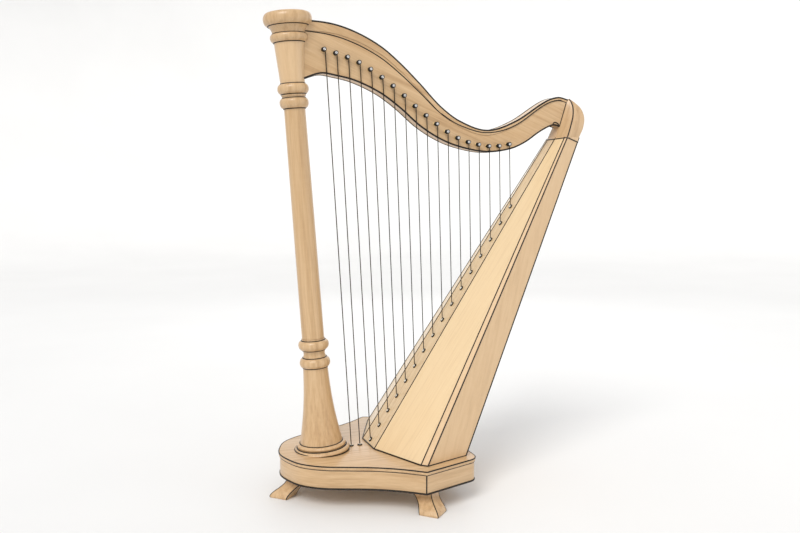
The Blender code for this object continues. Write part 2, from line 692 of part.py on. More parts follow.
def build_brace(foot, head):
    """Frame inside the soundbox, following its panels, open in the middle."""
    middle = BASE_TOP_Z + (BOX_TOP_Z - BASE_TOP_Z) * BRACE_SPOT
    closing = (BOX_FOOT["edge"][1] - BOX_HEAD["edge"][1]) / (BOX_TOP_Z - BASE_TOP_Z)
    trim = BRACE_THICKNESS / 2 * closing
    outline = inner_section(at_height(foot, head, middle), BOX_WALL + FIT_GAP + trim)
    centre = sum(outline, Vector()) / len(outline)
    opening = [centre + (point - centre) * BRACE_OPEN_SHARE for point in outline]
    front_lean = head[0].x - foot[0].x
    back_lean = head[3].x - foot[3].x
    shear = Matrix.Identity(4)
    shear[0][2] = (front_lean + back_lean) / 2 / (BOX_TOP_Z - BASE_TOP_Z)
    flat = [(point.x, point.y) for point in outline]
    hole = [(point.x, point.y) for point in opening]
    brace = plate("soundbox_brace", [flat, hole], BRACE_THICKNESS, level(middle), FRAME_WOOD)
    brace.data.transform(shear)


# Neck, cap and shoulder

def seam_x(z):
    """X of the joint between neck and shoulder at height z."""
    low, high = SEAM
    return low[0] + (high[0] - low[0]) * (z - low[1]) / (high[1] - low[1])


def cap_height(x):
    share = (x - NECK_START_X) / (NECK_TOP[-1][0] - NECK_START_X)
    return CAP_HEIGHT_AT_COLUMN + (CAP_HEIGHT_AT_SHOULDER - CAP_HEIGHT_AT_COLUMN) * share


def neck_end(z):
    return seam_x(z) - FIT_GAP


def build_neck(scoop, pins):
    """Neck with its pin bores, and the cap along its top; both end at the shoulder's seam."""
    top = [(x, smooth_height(NECK_TOP, x)) for x in spaced(NECK_START_X, NECK_TOP[-1][0], NECK_STEP)]
    line = [(x, z - cap_height(x)) for x, z in top]
    top[-1] = (neck_end(top[-1][1]), top[-1][1])
    line[-1] = (neck_end(line[-1][1]), line[-1][1])
    under = [(x, smooth_height(NECK_UNDER, x)) for x in spaced(NECK_START_X, NECK_UNDER[-1][0], NECK_STEP)]
    under[-1] = (neck_end(under[-1][1]), under[-1][1])
    upright = Matrix.Rotation(math.radians(90), 4, "X")
    cap_line = [(x, z + FIT_GAP / 2) for x, z in line]
    cap = plate("neck_cap", [cap_line + top[::-1]], CAP_THICKNESS, upright, FRAME_WOOD, BOARD_EASE)
    combine(cap, scoop, "DIFFERENCE")
    body_line = [(x, z - FIT_GAP / 2) for x, z in line]
    neck = plate("neck", [under + body_line[::-1]], NECK_THICKNESS, upright, FRAME_WOOD, BOARD_EASE)
    combine(neck, scoop, "DIFFERENCE")
    for index, (x, z) in enumerate(pins):
        hole = bore(f"pin_bore_{index + 1:02d}", Vector((x, 0, z)), Vector((0, 1, 0)),
                    PIN_RADIUS + PIN_CLEARANCE, NECK_THICKNESS + 2 * CUT_MARGIN, PIN_SIDES)
        combine(neck, hole, "DIFFERENCE")


def build_shoulder():
    """Block between soundbox and neck, lofted from the soundbox section to the end of the neck."""
    bottom = BOX_TOP_Z + FIT_GAP
    sections = [(bottom, BOX_HEAD["band"][0], BOX_HEAD["edge"][0], BOX_HEAD["back"][0],
                 BOX_HEAD["band"][1], BOX_HEAD["edge"][1], BOX_HEAD["back"][1])]
    for height, ridge, back, half_ridge, half_back in SHOULDER:
        z = NECK_LEVEL + height
        half_front = min(NECK_THICKNESS / 2, half_ridge)
        sections.append((z, seam_x(z), ridge, back, half_front, half_ridge, half_back))
    rings = []
    for z, front, ridge, back, half_front, half_ridge, half_back in sections:
        left = [Vector((front, -half_front, z)), Vector((ridge, -half_ridge, z)), Vector((back, -half_back, z))]
        right = [Vector((point.x, -point.y, z)) for point in reversed(left)]
        rings.append(left + right)
    data = loft(rings)
    mesh = bmesh.new()
    mesh.from_mesh(data)
    bmesh.ops.triangulate(mesh, faces=mesh.faces)
    mesh.to_mesh(data)
    mesh.free()
    smooth(data)
    add_object("shoulder_block", data, FRAME_WOOD)


# Pins and strings

def pin_spots():
    """Centres of the tuning pins as (x, z)."""
    spots = []
    for index in range(STRING_COUNT):
        x = PIN_FIRST_X + PIN_PITCH * index
        spots.append((x, smooth_height(PIN_LINE, x)))
    return spots


def base_eyes():
    return [Vector((BASE_EYE_FIRST_X + BASE_EYE_PITCH * index, 0, BASE_TOP_Z)) for index in range(BASE_STRING_COUNT)]


def band_frame():
    """Foot and head of the string band's centre line, and its outward normal."""
    foot = Vector((BOX_FOOT["band"][0], 0, BASE_TOP_Z))
    head = Vector((BOX_HEAD["band"][0], 0, BOX_TOP_Z))
    along = (head - foot).normalized()
    return foot, head, Vector((-along.z, 0, along.x))


def band_eyes():
    foot, head, _ = band_frame()
    points = []
    for index in range(STRING_COUNT - BASE_STRING_COUNT):
        x = BAND_EYE_FIRST_X + BAND_EYE_PITCH * index + BAND_EYE_GROWTH * index * (index - 1) / 2
        points.append(foot.lerp(head, (x - foot.x) / (head.x - foot.x)))
    return points


def ring_points(distance, radius, sides, square=False):
    """Ring round the pin's axis, which runs along +Y; a square ring keeps the same number of points."""
    points = []
    for index in range(sides):
        angle = 2 * math.pi * index / sides
        reach = radius
        if square:
            reach = radius / max(abs(math.cos(angle)), abs(math.sin(angle)))
        points.append(Vector((reach * math.cos(angle), distance, reach * math.sin(angle))))
    return points


def pin_mesh():
    face = -NECK_THICKNESS / 2
    head_back = face - PIN_NECK_LENGTH
    head_front = head_back - PIN_HEAD_THICKNESS
    far = NECK_THICKNESS / 2
    rings = [
        ring_points(head_front + PIN_DIMPLE_DEPTH, PIN_DIMPLE_RADIUS * 0.7, PIN_SIDES),
        ring_points(head_front, PIN_DIMPLE_RADIUS, PIN_SIDES),
        ring_points(head_front, PIN_HEAD_RADIUS * 0.9, PIN_SIDES),
        ring_points(head_front + PIN_HEAD_THICKNESS * 0.3, PIN_HEAD_RADIUS, PIN_SIDES),
        ring_points(head_back, PIN_HEAD_RADIUS, PIN_SIDES),
        ring_points(head_back, PIN_RADIUS, PIN_SIDES),
        ring_points(far + PIN_TIP_LENGTH, PIN_TIP_RADIUS, PIN_SIDES),
        ring_points(far + 2 * PIN_TIP_LENGTH, PIN_SQUARE_HALF, PIN_SIDES, square=True),
        ring_points(far + 2 * PIN_TIP_LENGTH + PIN_SQUARE_LENGTH, PIN_SQUARE_HALF * 0.9, PIN_SIDES, square=True),
    ]
    data = loft(rings)
    smooth(data)
    return data


def build_pins(spots):
    shared = pin_mesh()
    shared.materials.append(STEEL)
    for index, (x, z) in enumerate(spots):
        item = add_object(f"tuning_pin_{index + 1:02d}", shared, None)
        item.location = (x, 0, z)


def string_radius(index):
    share = index / (STRING_COUNT - 1)
    return (STRING_THICKEST + (STRING_THINNEST - STRING_THICKEST) * share) / 2


def string_route(spot, eye, normal, radius, board):
    """Points and radii of one string: winding on its pin, the free length, the eyelet and the knot below."""
    middle = -NECK_THICKNESS / 2 - STRING_PLANE_OFFSET
    reach = PIN_RADIUS + radius + CORD_CLEARANCE
    pitch = 2 * radius + CORD_CLEARANCE
    drop = eye + normal * STRING_RISE - Vector((spot[0], middle, spot[1]))
    heading = math.atan2(drop.z, drop.x) + math.pi / 2
    points = []
    total = WINDING_TURNS * WINDING_POINTS
    for index in range(total + 1):
        turn = index / WINDING_POINTS
        angle = heading + 2 * math.pi * (WINDING_TURNS - turn)
        y = middle - pitch * (WINDING_TURNS - turn) + pitch * WINDING_TURNS / 2
        points.append(Vector((spot[0] + reach * math.cos(angle), y, spot[1] + reach * math.sin(angle))))
    radii = [1.0] * len(points)
    under = board + FIT_GAP
    knot = KNOT_RADIUS / radius
    points.append(eye + normal * STRING_RISE)
    radii.append(1.0)
    below = under + KNOT_LENGTH
    for depth, share in ((under, 1.0), (under + KNOT_SHOULDER, knot), (below, knot), (below + TAIL_TAPER, 1.0),
                         (below + TAIL_TAPER + TAIL_LENGTH, 1.0)):
        points.append(eye - normal * depth)
        radii.append(share)
    return points, radii


def least_own_gap(points, radius):
    """Smallest air between turns of one winding, from distances between points half a turn or more apart."""
    least = math.inf
    half_turn = WINDING_POINTS // 2
    wound = points[:WINDING_TURNS * WINDING_POINTS + 1]
    for index, point in enumerate(wound):
        for other in wound[index + half_turn + 2:]:
            least = min(least, (point - other).length - 2 * radius)
    return least


def tube(name, points, radii, radius):
    curve = bpy.data.curves.new(name, "CURVE")
    curve.dimensions = "3D"
    curve.bevel_depth = radius
    curve.bevel_resolution = 1
    curve.use_fill_caps = True
    spline = curve.splines.new("POLY")
    spline.points.add(len(points) - 1)
    for target, point, share in zip(spline.points, points, radii):
        target.co = (*point, 1)
        target.radius = share
    return add_object(name, curve, GUT)


def build_strings(spots, base_points, band_points):
    _, _, band_normal = band_frame()
    band_depth = BOX_WALL * abs(band_normal.x)      # the wall is measured level, the board's depth square to it
    ends = [(point, Vector((0, 0, 1)), BASE_TOP_THICKNESS) for point in base_points]
    ends += [(point, band_normal, band_depth) for point in band_points]
    gap = math.inf
    for index, (spot, (eye, normal, board)) in enumerate(zip(spots, ends)):
        radius = string_radius(index)
        points, radii = string_route(spot, eye, normal, radius, board)
        gap = min(gap, least_own_gap(points, radius))
        tube(f"string_{index + 1:02d}", points, radii, radius)
    print(f"least gap between turns of a winding: {gap * 1000:.2f} mm")


def settle_origin():
    """Moves the whole object so that the origin is under the middle of its bounding box."""
    bpy.context.view_layer.update()
    graph = bpy.context.evaluated_depsgraph_get()
    low = math.inf
    high = -math.inf
    for item in PARTS.objects:
        shape = item.evaluated_get(graph).to_mesh()
        for vertex in shape.vertices:
            x = (item.matrix_world @ vertex.co).x
            low = min(low, x)
            high = max(high, x)
    shift = -(low + high) / 2
    for item in list(PARTS.objects) + list(CUTTERS.objects):
        item.matrix_world = Matrix.Translation((shift, 0, 0)) @ item.matrix_world
    print(f"origin shift {shift * 1000:.3f} mm")


def build():
    spots = pin_spots()
    base_points = base_eyes()
    band_points = band_eyes()
    build_column()
    scoop = neck_seat_cutter()
    build_base(base_points)
    build_foot("foot_front", Vector((FRONT_FOOT_X, 0, 0)), Vector((-1, 0, 0)))
    build_foot("foot_left", Vector((SIDE_FOOT_X, -SIDE_FOOT_Y, 0)), Vector((0, -1, 0)))
    build_foot("foot_right", Vector((SIDE_FOOT_X, SIDE_FOOT_Y, 0)), Vector((0, 1, 0)))
    build_foot("foot_back", Vector((BACK_FOOT_X, 0, 0)), Vector((1, 0, 0)))
    panels = build_soundbox()
    _, _, band_normal = band_frame()
    add_eyelets(panels["string_band"], band_points, band_normal)
    build_neck(scoop, spots)
    build_shoulder()
    build_pins(spots)
    build_strings(spots, base_points, band_points)
    settle_origin()


build()
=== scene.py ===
# Looks of a floor-standing harp: pale lacquered maple and spruce with dark bound edges, polished tuning
# pins and eighteen dark strings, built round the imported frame.
# Metres, +Z up. Places are given from the middle of the column's foot; SHIFT_X moves them into the frame.

import math

import bmesh
import bpy
from mathutils import Matrix, Vector


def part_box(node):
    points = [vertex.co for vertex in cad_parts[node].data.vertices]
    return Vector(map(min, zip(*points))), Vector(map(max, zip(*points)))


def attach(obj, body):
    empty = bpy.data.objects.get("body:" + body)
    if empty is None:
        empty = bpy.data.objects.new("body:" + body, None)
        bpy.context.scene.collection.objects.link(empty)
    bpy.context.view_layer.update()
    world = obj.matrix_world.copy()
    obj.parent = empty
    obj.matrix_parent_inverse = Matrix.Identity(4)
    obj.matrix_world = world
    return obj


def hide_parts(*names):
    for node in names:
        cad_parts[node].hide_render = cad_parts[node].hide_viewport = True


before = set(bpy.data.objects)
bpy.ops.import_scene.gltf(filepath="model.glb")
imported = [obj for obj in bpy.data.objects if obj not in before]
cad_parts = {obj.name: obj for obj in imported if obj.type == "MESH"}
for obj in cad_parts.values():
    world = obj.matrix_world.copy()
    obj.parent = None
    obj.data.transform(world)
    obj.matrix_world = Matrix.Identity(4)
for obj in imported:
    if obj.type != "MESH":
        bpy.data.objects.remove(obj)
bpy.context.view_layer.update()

# Shared sizes
FIT_GAP = 0.0003
BASE_FRONT_X = -0.135
SHIFT_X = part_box("base_top")[0].x - BASE_FRONT_X
BODY = "frame"
SHARP_TURN = 38  # degrees between two faces from which their edge is shaded sharp
HOLE_SIDES = 24
CUT_MARGIN = 0.008  # how far a drill reaches beyond the board on either side

# Base and feet
BASE_TOP_Z = 0.135
BASE_TOP_THICKNESS = 0.012
BASE_BOTTOM_THICKNESS = 0.01
BASE_OVERHANG = 0.004
BASE_WALL = 0.02
BASE_NOSE = 0.0035  # depth of the rounded edge of the top board
BASE_NOSE_STEPS = 8
BASE_EASE = 0.003  # size of the eased lower edge of the body
BASE_ARRIS = 0.001  # chamfer of its upper edge
BASE_HALF_WIDTH = 0.312
BASE_CORNER_X = 0.23
BASE_BACK_X = 0.425
BASE_BACK_HALF_WIDTH = 0.221
BASE_BACK_RADIUS = 0.045
BASE_BACK_SETTING = 0.2
BASE_BACK_SWEEP = math.radians(62)
# S-shaped flank, as shares of the way from the front to the corner and of the half width
BASE_FLANK = ((0.0, 0.0), (0.036, 0.199), (0.112, 0.378), (0.26, 0.522), (0.452, 0.619), (0.644, 0.712),
              (0.83, 0.84), (1.0, 1.0))
FLANK_STEPS = 10
BACK_STEPS = 14
FOOT_HEIGHT = 0.065
FOOT_SWEEP = 0.062
FOOT_STATIONS = 30
FOOT_EASE = 0.003  # rounding of a foot's four ridges
FOOT_LINE_SET = 0.002  # how far the dark line on a ridge is set into it
# Foot sections: share of the height, share of the sweep, half diagonal
FOOT_SECTIONS = ((0.0, 1.0, 0.0405), (0.03, 1.0, 0.0425), (0.1, 0.99, 0.044), (0.25, 0.86, 0.0418),
                 (0.42, 0.62, 0.038), (0.6, 0.36, 0.038), (0.8, 0.12, 0.0441), (1.0, 0.0, 0.056))
FEET = (("foot_front", (-0.062, 0.0), (-1, 0)), ("foot_left", (0.256, -0.228), (0, -1)),
        ("foot_right", (0.256, 0.228), (0, 1)), ("foot_back", (0.346, 0.0), (1, 0)))

# Column: heights along its axis, from the top of the base
COLUMN_LEAN = math.radians(4.06)
COLUMN_PLACE = Matrix.Translation((0, 0, BASE_TOP_Z)) @ Matrix.Rotation(-COLUMN_LEAN, 4, "Y")
COLUMN_SIDES = 96
COLUMN_ROOT = -0.018  # start of the foot, before it is laid level on the base
PLINTH_TOP = 0.0145
BELL_FOOT = 0.027
LOWER_COLLAR_FOOT = 0.265
WAIST_FOOT = LOWER_COLLAR_FOOT + 0.03
WAIST_TOP = LOWER_COLLAR_FOOT + 0.054
LOWER_FILLET_FOOT = LOWER_COLLAR_FOOT + 0.084
SHAFT_FOOT = 0.355
UPPER_COLLAR_FOOT = 1.052
UPPER_FILLET_FOOT = UPPER_COLLAR_FOOT + 0.03
UPPER_FILLET_TOP = UPPER_COLLAR_FOOT + 0.042
CAPITAL_FOOT = 1.124
DRUM_TOP = CAPITAL_FOOT + 0.12
CAPITAL_BEAD_TOP = CAPITAL_FOOT + 0.1445
CROWN_FOOT = CAPITAL_FOOT + 0.168
COLUMN_TOP = 1.33
QUIRK = 0.0002  # height of the step between a bead and the piece beside it
LOWER_BEAD_RADIUS = 0.047

# Soundbox: corners at the foot as (x, half width), then the band's corner and the panels' widths at the head
BOX_TOP_Z = 1.115
BOX_FOOT = {"band": (0.151, 0.06), "board": (0.232, 0.256), "edge": (0.248, 0.271), "back": (0.395, 0.217)}
BAND_HEAD = (0.801, 0.024)
HEAD_WIDTHS = {"board": 0.0368, "edge": 0.0095, "back": 0.06}
SOUND_HOLE_SPOTS = (0.14, 0.33, 0.51, 0.67)
SOUND_HOLE_HALF_LENGTH = 0.052
SOUND_HOLE_HALF_WIDTH = 0.036
SOUND_HOLE_SHRINK = 0.45
SOUND_HOLE_SIDES = 56
# Section of a sound hole's rim: distance outwards from the hole's edge, height above the back
SOUND_HOLE_RIM = ((-0.0012, -0.0062), (-0.0012, 0.0004), (-0.0003, 0.0013), (0.0018, 0.0017),
                  (0.0046, 0.001), (0.0054, 0.0002), (0.0028, -0.0001), (-0.0003, -0.0001),
                  (-0.0003, -0.0062))

# Neck and shoulder
NECK_HALF = 0.022
CAP_HALF = 0.024
CAP_HEIGHT_AT_COLUMN = 0.031
CAP_HEIGHT_AT_SHOULDER = 0.01
NECK_START_X = -0.072
NECK_STATIONS = 110
NECK_TOP = ((-0.072, 1.442), (0.031, 1.437), (0.108, 1.417), (0.188, 1.379), (0.252, 1.331), (0.319, 1.27),
            (0.386, 1.205), (0.455, 1.16), (0.55, 1.134), (0.651, 1.165), (0.761, 1.2322), (0.808, 1.2472),
            (0.843, 1.241))
NECK_UNDER = ((-0.072, 1.262), (-0.001, 1.288), (0.045, 1.284), (0.108, 1.271), (0.187, 1.238),
              (0.252, 1.195), (0.319, 1.141), (0.387, 1.102), (0.456, 1.078), (0.548, 1.064),
              (0.634, 1.075), (0.689, 1.098), (0.744, 1.134), (0.79, 1.155), (0.815, 1.151))
# Rounding of the lower and upper edges of the neck and of its cap
NECK_EDGES = (0.0035, 0.0008)
CAP_EDGES = (0.0012, 0.0055)
SEAM = ((0.815, 1.15), (0.8435, 1.242))
# Shoulder sections: z, ridge x, back x, half widths at front, ridge and back
SHOULDER = ((1.15, 0.836, 0.897, 0.022, 0.059, 0.043), (1.182, 0.848, 0.903, 0.022, 0.052, 0.04),
            (1.212, 0.854, 0.893, 0.022, 0.042, 0.034), (1.232, 0.853, 0.872, 0.022, 0.031, 0.027),
            (1.242, 0.85, 0.856, 0.02, 0.023, 0.021))
SHOULDER_STEPS = 48
SHOULDER_FRONT_EASE = 0.0015
SHOULDER_RIDGE_EASE = 0.0022
SHOULDER_BACK_EASE = (0.002, 0.0115)  # at the soundbox, and from EASE_REACH of the way up
EASE_REACH = 2 / 7
SHOULDER_LINE_SET = 0.0012
CURL_X = 0.802  # middle of the carved hollow at the end of the neck's underside
CURL_HALF_LENGTH = 0.0115
CURL_DEPTH = 0.0075
CURL_LINE_RISE = 0.003  # height of its dark line above the underside, at its ends
CURL_LINE_SHARE = 0.92  # share of its depth that the line follows
CUFF_HEIGHT = 0.002
CUFF_PROUD = 0.001
CUFF_INSIDE = 0.12  # share of that distance at which the cuff's inner face lies
CUFF_LAP = 0.0006  # how far the cuff reaches above the head of the soundbox
CUFF_DROPS = {"band": 0.0035, "board": 0.0005, "edge": 0.0, "back": 0.013}
# Where the neck's dark lines come out of the capital
TOP_LINE_START_X = -0.034
INLAY_START_X = -0.05
UNDER_LINE_START_X = -0.057
# How far the lines along the neck's top edge and underside are set into its corners
TOP_LINE_SET = 0.0018
UNDER_LINE_SET = 0.0016
# Distance of the dark inlay below the neck's top edge
INLAY_DROP = ((-0.072, 0.031), (0.06, 0.035), (0.21, 0.0342), (0.33, 0.0265), (0.45, 0.0146),
              (0.55, 0.0086), (0.64, 0.0135), (0.74, 0.0102), (0.843, 0.0106))

# Strings and pins
STRING_COUNT = 18
BASE_STRING_COUNT = 2
WOUND_STRING_COUNT = 5
PIN_FIRST_X = 0.0076
PIN_PITCH = 0.03617
PIN_LINE = ((-0.02, 1.359), (0.008, 1.357), (0.112, 1.3262), (0.222, 1.2613), (0.332, 1.1738),
            (0.444, 1.105), (0.553, 1.0818), (0.6225, 1.0892), (0.65, 1.095))
BASE_EYE_FIRST_X = 0.0955
BASE_EYE_PITCH = 0.0285
BAND_EYE_FIRST_X = 0.1605
BAND_EYE_PITCH = 0.0291
BAND_EYE_GROWTH = 0.0005
STRING_THICKEST = 0.0031
STRING_THINNEST = 0.0025
STRING_SIDES = 12
WINDING_TURNS = 2
WINDING_POINTS = 28
WINDING_GAP = 0.0002  # between a winding and its pin
CORD_CLEARANCE = 0.0005  # between two turns of a winding
STRING_PLANE_Y = -0.031
STRING_RISE = 0.0017  # a string bends into its eyelet this far above the board
BEND_RUN = 0.004
BEND_SINK = 0.0015
# Knot below a board: depth, and the least radius there
KNOT = ((0.0, 0.0), (0.0002, 0.0036), (0.0012, 0.0045), (0.004, 0.0045), (0.005, 0.00315), (0.0065, 0.0),
        (0.011, 0.0))
BOARD_DEPTH = {"base": 0.012, "band": 0.0059}
EYELET_BORE = 0.0031
EYELET_SIDES = 28
# Sections of an eyelet's dark flange and of its bone liner: radius, height above the board
EYELET_FLANGE = ((0.0046, -0.0004), (0.0076, -0.0003), (0.0079, 0.0008), (0.0076, 0.0022), (0.0068, 0.0033),
                 (0.0056, 0.0038), (0.0048, 0.0036), (0.0046, 0.0012))
EYELET_LINER = ((0.003, -0.005), (0.0021, 0.0012), (0.0021, 0.0036), (0.0027, 0.0044), (0.0038, 0.0044),
                (0.0047, 0.0036), (0.0047, 0.0012), (0.00305, 0.001), (0.00305, -0.005))
PIN_SIDES = 32
PIN_RADIUS = 0.004
PIN_CLEARANCE = 0.0004
PIN_FRONT_Y = -0.043
# Pin sections, as distance behind the front of the head and radius, or half width where square
PIN_DISH = ((0.001, 0.0006), (0.0008, 0.002), (0.0002, 0.0032), (0.0, 0.0036))
PIN_RIM = ((0.0, 0.0042), (0.0004, 0.0058), (0.0012, 0.0065), (0.0024, 0.0065), (0.0031, 0.006),
           (0.0035, 0.005), (0.0035, PIN_RADIUS))
PIN_SHANK = ((0.004, 0.0039), (0.019, 0.0039))
PIN_TAIL = ((0.0665, 0.0034), (0.068, 0.003))
PIN_SQUARE = ((0.0692, 0.0027), (0.0835, 0.0025), (0.0848, 0.0021))
PIN_SQUARE_EASE = 1.34  # a square's corners reach this many half widths out
THREAD_START = 0.022
THREAD_PITCH = 0.0026
THREAD_TURNS = 16
THREAD_RADII = (0.0036, 0.0039)
# Section of a pin's bushing: height above the neck's face, radius
BUSHING = ((-0.002, 0.0043), (0.0004, 0.0043), (0.0008, 0.0047), (0.0008, 0.0058), (0.0003, 0.0063),
           (-0.0004, 0.0063), (-0.0005, 0.0048), (-0.002, 0.0046))
BUSHING_SIDES = 28

# Light and camera
KEY_STRENGTH = 1.75
KEY_SOFTNESS = math.radians(28)
KEY_FROM = Vector((-0.75, -0.85, 1.15))
SURROUND_STRENGTH = 0.74
# Soft fills: name, place, strength, colour
FILLS = (("fill", (3.4, -2.4, 1.8), 16.0, (0.95, 0.97, 1.0)),
         ("rim", (1.4, 3.4, 2.6), 20.0, (1.0, 1.0, 1.0)))
FILL_SIZE = 3.0
FILL_AIM = Vector((0.0, 0.0, 0.7))
STAGE_RADIUS = 9.0  # where the floor starts to curve up
STAGE_RISE = 5.0
STAGE_HUB = 0.05  # radius of the flat middle that closes the floor
STAGE_SIDES = 96
STAGE_STEPS = 16
CAMERA_PLACE = (-0.64961 + SHIFT_X, -2.4986, 0.95143)
CAMERA_TURN = (math.radians(84.606), 0.0, math.radians(-20.0))
CAMERA_LENS = 37.89
CAMERA_REACH = 100.0

# Bound edges
LINE_THIN = 0.0021  # radius of a dark line
LINE_THICK = 0.003
LINE_SIDES = 8
LINE_SINK = 0.45  # share of its radius by which a line's middle lies below the surface

# Looks: wood tones are pale, warm and dark
MAPLE = ((0.67, 0.47, 0.27), (0.56, 0.36, 0.18), (0.38, 0.22, 0.1))
SPRUCE = ((0.78, 0.6, 0.37), (0.69, 0.49, 0.26), (0.46, 0.28, 0.13))
COAT_ROUGHNESS = 0.18
ALONG_GRAIN = (1.0, 1.0, 0.035)
ROUND_BASE = (0.05, 0.05, 1.0)
ACROSS_GRAIN = (0.35, 0.35, 3.0)
# Sockets of a Mix node that carry its share, its two colours and its result
MIX_SHARE, MIX_FIRST, MIX_SECOND, MIX_RESULT = 0, 6, 7, 2


# Materials

class Finish:
    """A Principled material, with short calls for the nodes that feed its shader."""

    def __init__(self, name, metallic=0.0, coat=0.0, specular=0.5):
        self.material = bpy.data.materials.new(name)
        self.material.use_nodes = True
        self.tree = self.material.node_tree
        self.shader = self.tree.nodes["Principled BSDF"]
        for key, value in (("Metallic", metallic), ("Coat Weight", coat), ("Coat Roughness", COAT_ROUGHNESS),
                           ("Specular IOR Level", specular)):
            self.shader.inputs[key].default_value = value
        self.place = self.add("TexCoord", "Object", {})

    def add(self, kind, output, inputs, **settings):
        """Output of a new node, whose inputs are numbers, vectors or the outputs of other nodes."""
        node = self.tree.nodes.new("ShaderNode" + kind)
        for key, value in settings.items():
            setattr(node, key, value)
        for key, value in inputs.items():
            if isinstance(value, bpy.types.NodeSocket):
                self.tree.links.new(value, node.inputs[key])
            else:
                node.inputs[key].default_value = value
        return node.outputs[output]

    def mapped(self, vector, **change):
        return self.add("Mapping", "Vector", {"Vector": vector, **change})

    def noise(self, vector, scale, detail=4.0, roughness=0.55):
        inputs = {"Vector": vector, "Scale": scale, "Detail": detail, "Roughness": roughness}
        return self.add("TexNoise", "Fac", inputs)

    def spread(self, value, low, high, start=0.0, end=1.0):
        """What lies between start and end, spread from low to high."""
        inputs = {"Value": value, "From Min": start, "From Max": end, "To Min": low, "To Max": high}
        return self.add("MapRange", "Result", inputs)

    def ramp(self, value, *stops):
        node = self.tree.nodes.new("ShaderNodeValToRGB")
        elements = node.color_ramp.elements
        while len(elements) < len(stops):
            elements.new(0.5)
        for element, (position, tone) in zip(elements, stops):
            element.position = position
            element.color = (*tone, 1.0)
        self.tree.links.new(value, node.inputs["Fac"])
        return node.outputs["Color"]

    def mix(self, first, second, share):
        """Mix of two colours, each a tone or an output; share is a number or an output."""
        first, second = ((*tone, 1.0) if isinstance(tone, tuple) else tone for tone in (first, second))
        inputs = {MIX_SHARE: share, MIX_FIRST: first, MIX_SECOND: second}
        return self.add("Mix", MIX_RESULT, inputs, data_type="RGBA")

    def worn(self, colour, tone, gain, start, end):
        """The colour with a tone times gain where the surface is sharply convex."""
        worn = tuple(value * gain for value in tone)
        pointed = self.add("NewGeometry", "Pointiness", {})
        return self.mix(colour, worn, self.spread(pointed, 0.0, 0.55, start, end))

    def paint(self, colour, roughness, height=None, strength=0.0, distance=0.0):
        """Feeds the shader, with the surface's fine relief where a height is given."""
        self.tree.links.new(colour, self.shader.inputs["Base Color"])
        self.tree.links.new(roughness, self.shader.inputs["Roughness"])
        if height:
            relief = {"Height": height, "Strength": strength, "Distance": distance}
            self.tree.links.new(self.add("Bump", "Normal", relief), self.shader.inputs["Normal"])
        return self.material


def wood(name, tones, turn, lines, figure=0.0, squeeze=ALONG_GRAIN):
    """Quarter-sawn wood: long growth lines, fine fibre, pores, slow colour drift and a satin lacquer."""
    pale, warm, dark = tones
    finish = Finish(name, coat=0.35)
    plain = finish.mapped(finish.place, Rotation=turn)
    drawn = finish.mapped(plain, Scale=squeeze)
    growth = finish.noise(drawn, lines, 3.0, 0.5)
    streak = finish.noise(drawn, lines * 3.1, 5.0, 0.6)
    fibre = finish.noise(drawn, 700.0, 3.0, 0.6)
    pores = finish.noise(drawn, 1500.0, 2.0, 0.5)
    drift = finish.noise(plain, 4.0, 1.0)
    growth_tone = finish.ramp(growth, (0.34, dark), (0.46, warm), (0.58, pale))
    streak_tone = finish.ramp(streak, (0.32, dark), (0.48, warm), (0.62, pale))
    fibre_tone = finish.ramp(fibre, (0.25, dark), (0.5, warm), (0.75, pale))
    colour = finish.mix(finish.mix(growth_tone, streak_tone, 0.45), fibre_tone, 0.25)
    colour = finish.mix(colour, warm, finish.spread(drift, 0.1, 0.35, 0.35, 0.7))
    if figure:
        flame = finish.noise(finish.mapped(plain, Scale=ACROSS_GRAIN), 30.0, 1.0)
        colour = finish.mix(colour, pale, finish.spread(flame, 0.0, figure, 0.48, 0.64))
    colour = finish.worn(colour, pale, 1.1, 0.54, 0.66)
    height = {0: finish.spread(pores, 0.0, 1.0, 0.35, 0.6), 1: streak}
    height = finish.add("Math", 0, height, operation="ADD")
    return finish.paint(colour, finish.spread(fibre, 0.34, 0.48, 0.3, 0.7), height, 0.18, 0.00025)


def ebony():
    finish = Finish("ebony_binding", specular=0.3)
    drawn = finish.mapped(finish.place, Scale=(1.0, 1.0, 0.08))
    fibre = finish.noise(drawn, 900.0)
    streak = finish.noise(drawn, 160.0, 3.0)
    colour = finish.ramp(streak, (0.35, (0.006, 0.004, 0.003)), (0.62, (0.022, 0.015, 0.01)))
    colour = finish.worn(colour, (0.045, 0.031, 0.022), 1.0, 0.56, 0.7)
    return finish.paint(colour, finish.spread(fibre, 0.34, 0.52), fibre, 0.1, 0.0002)


def metal(name, bright, tarnish, roughness, brushed):
    finish = Finish(name, metallic=1.0)
    cloud = finish.noise(finish.place, 140.0)
    scratch = finish.noise(finish.mapped(finish.place, Scale=ACROSS_GRAIN), brushed, 3.0)
    colour = finish.ramp(cloud, (0.38, tarnish), (0.6, bright))
    colour = finish.worn(colour, bright, 1.12, 0.55, 0.68)
    gloss = finish.spread(scratch, roughness * 0.75, roughness * 1.4)
    return finish.paint(colour, gloss, scratch, 0.12, 0.0001)


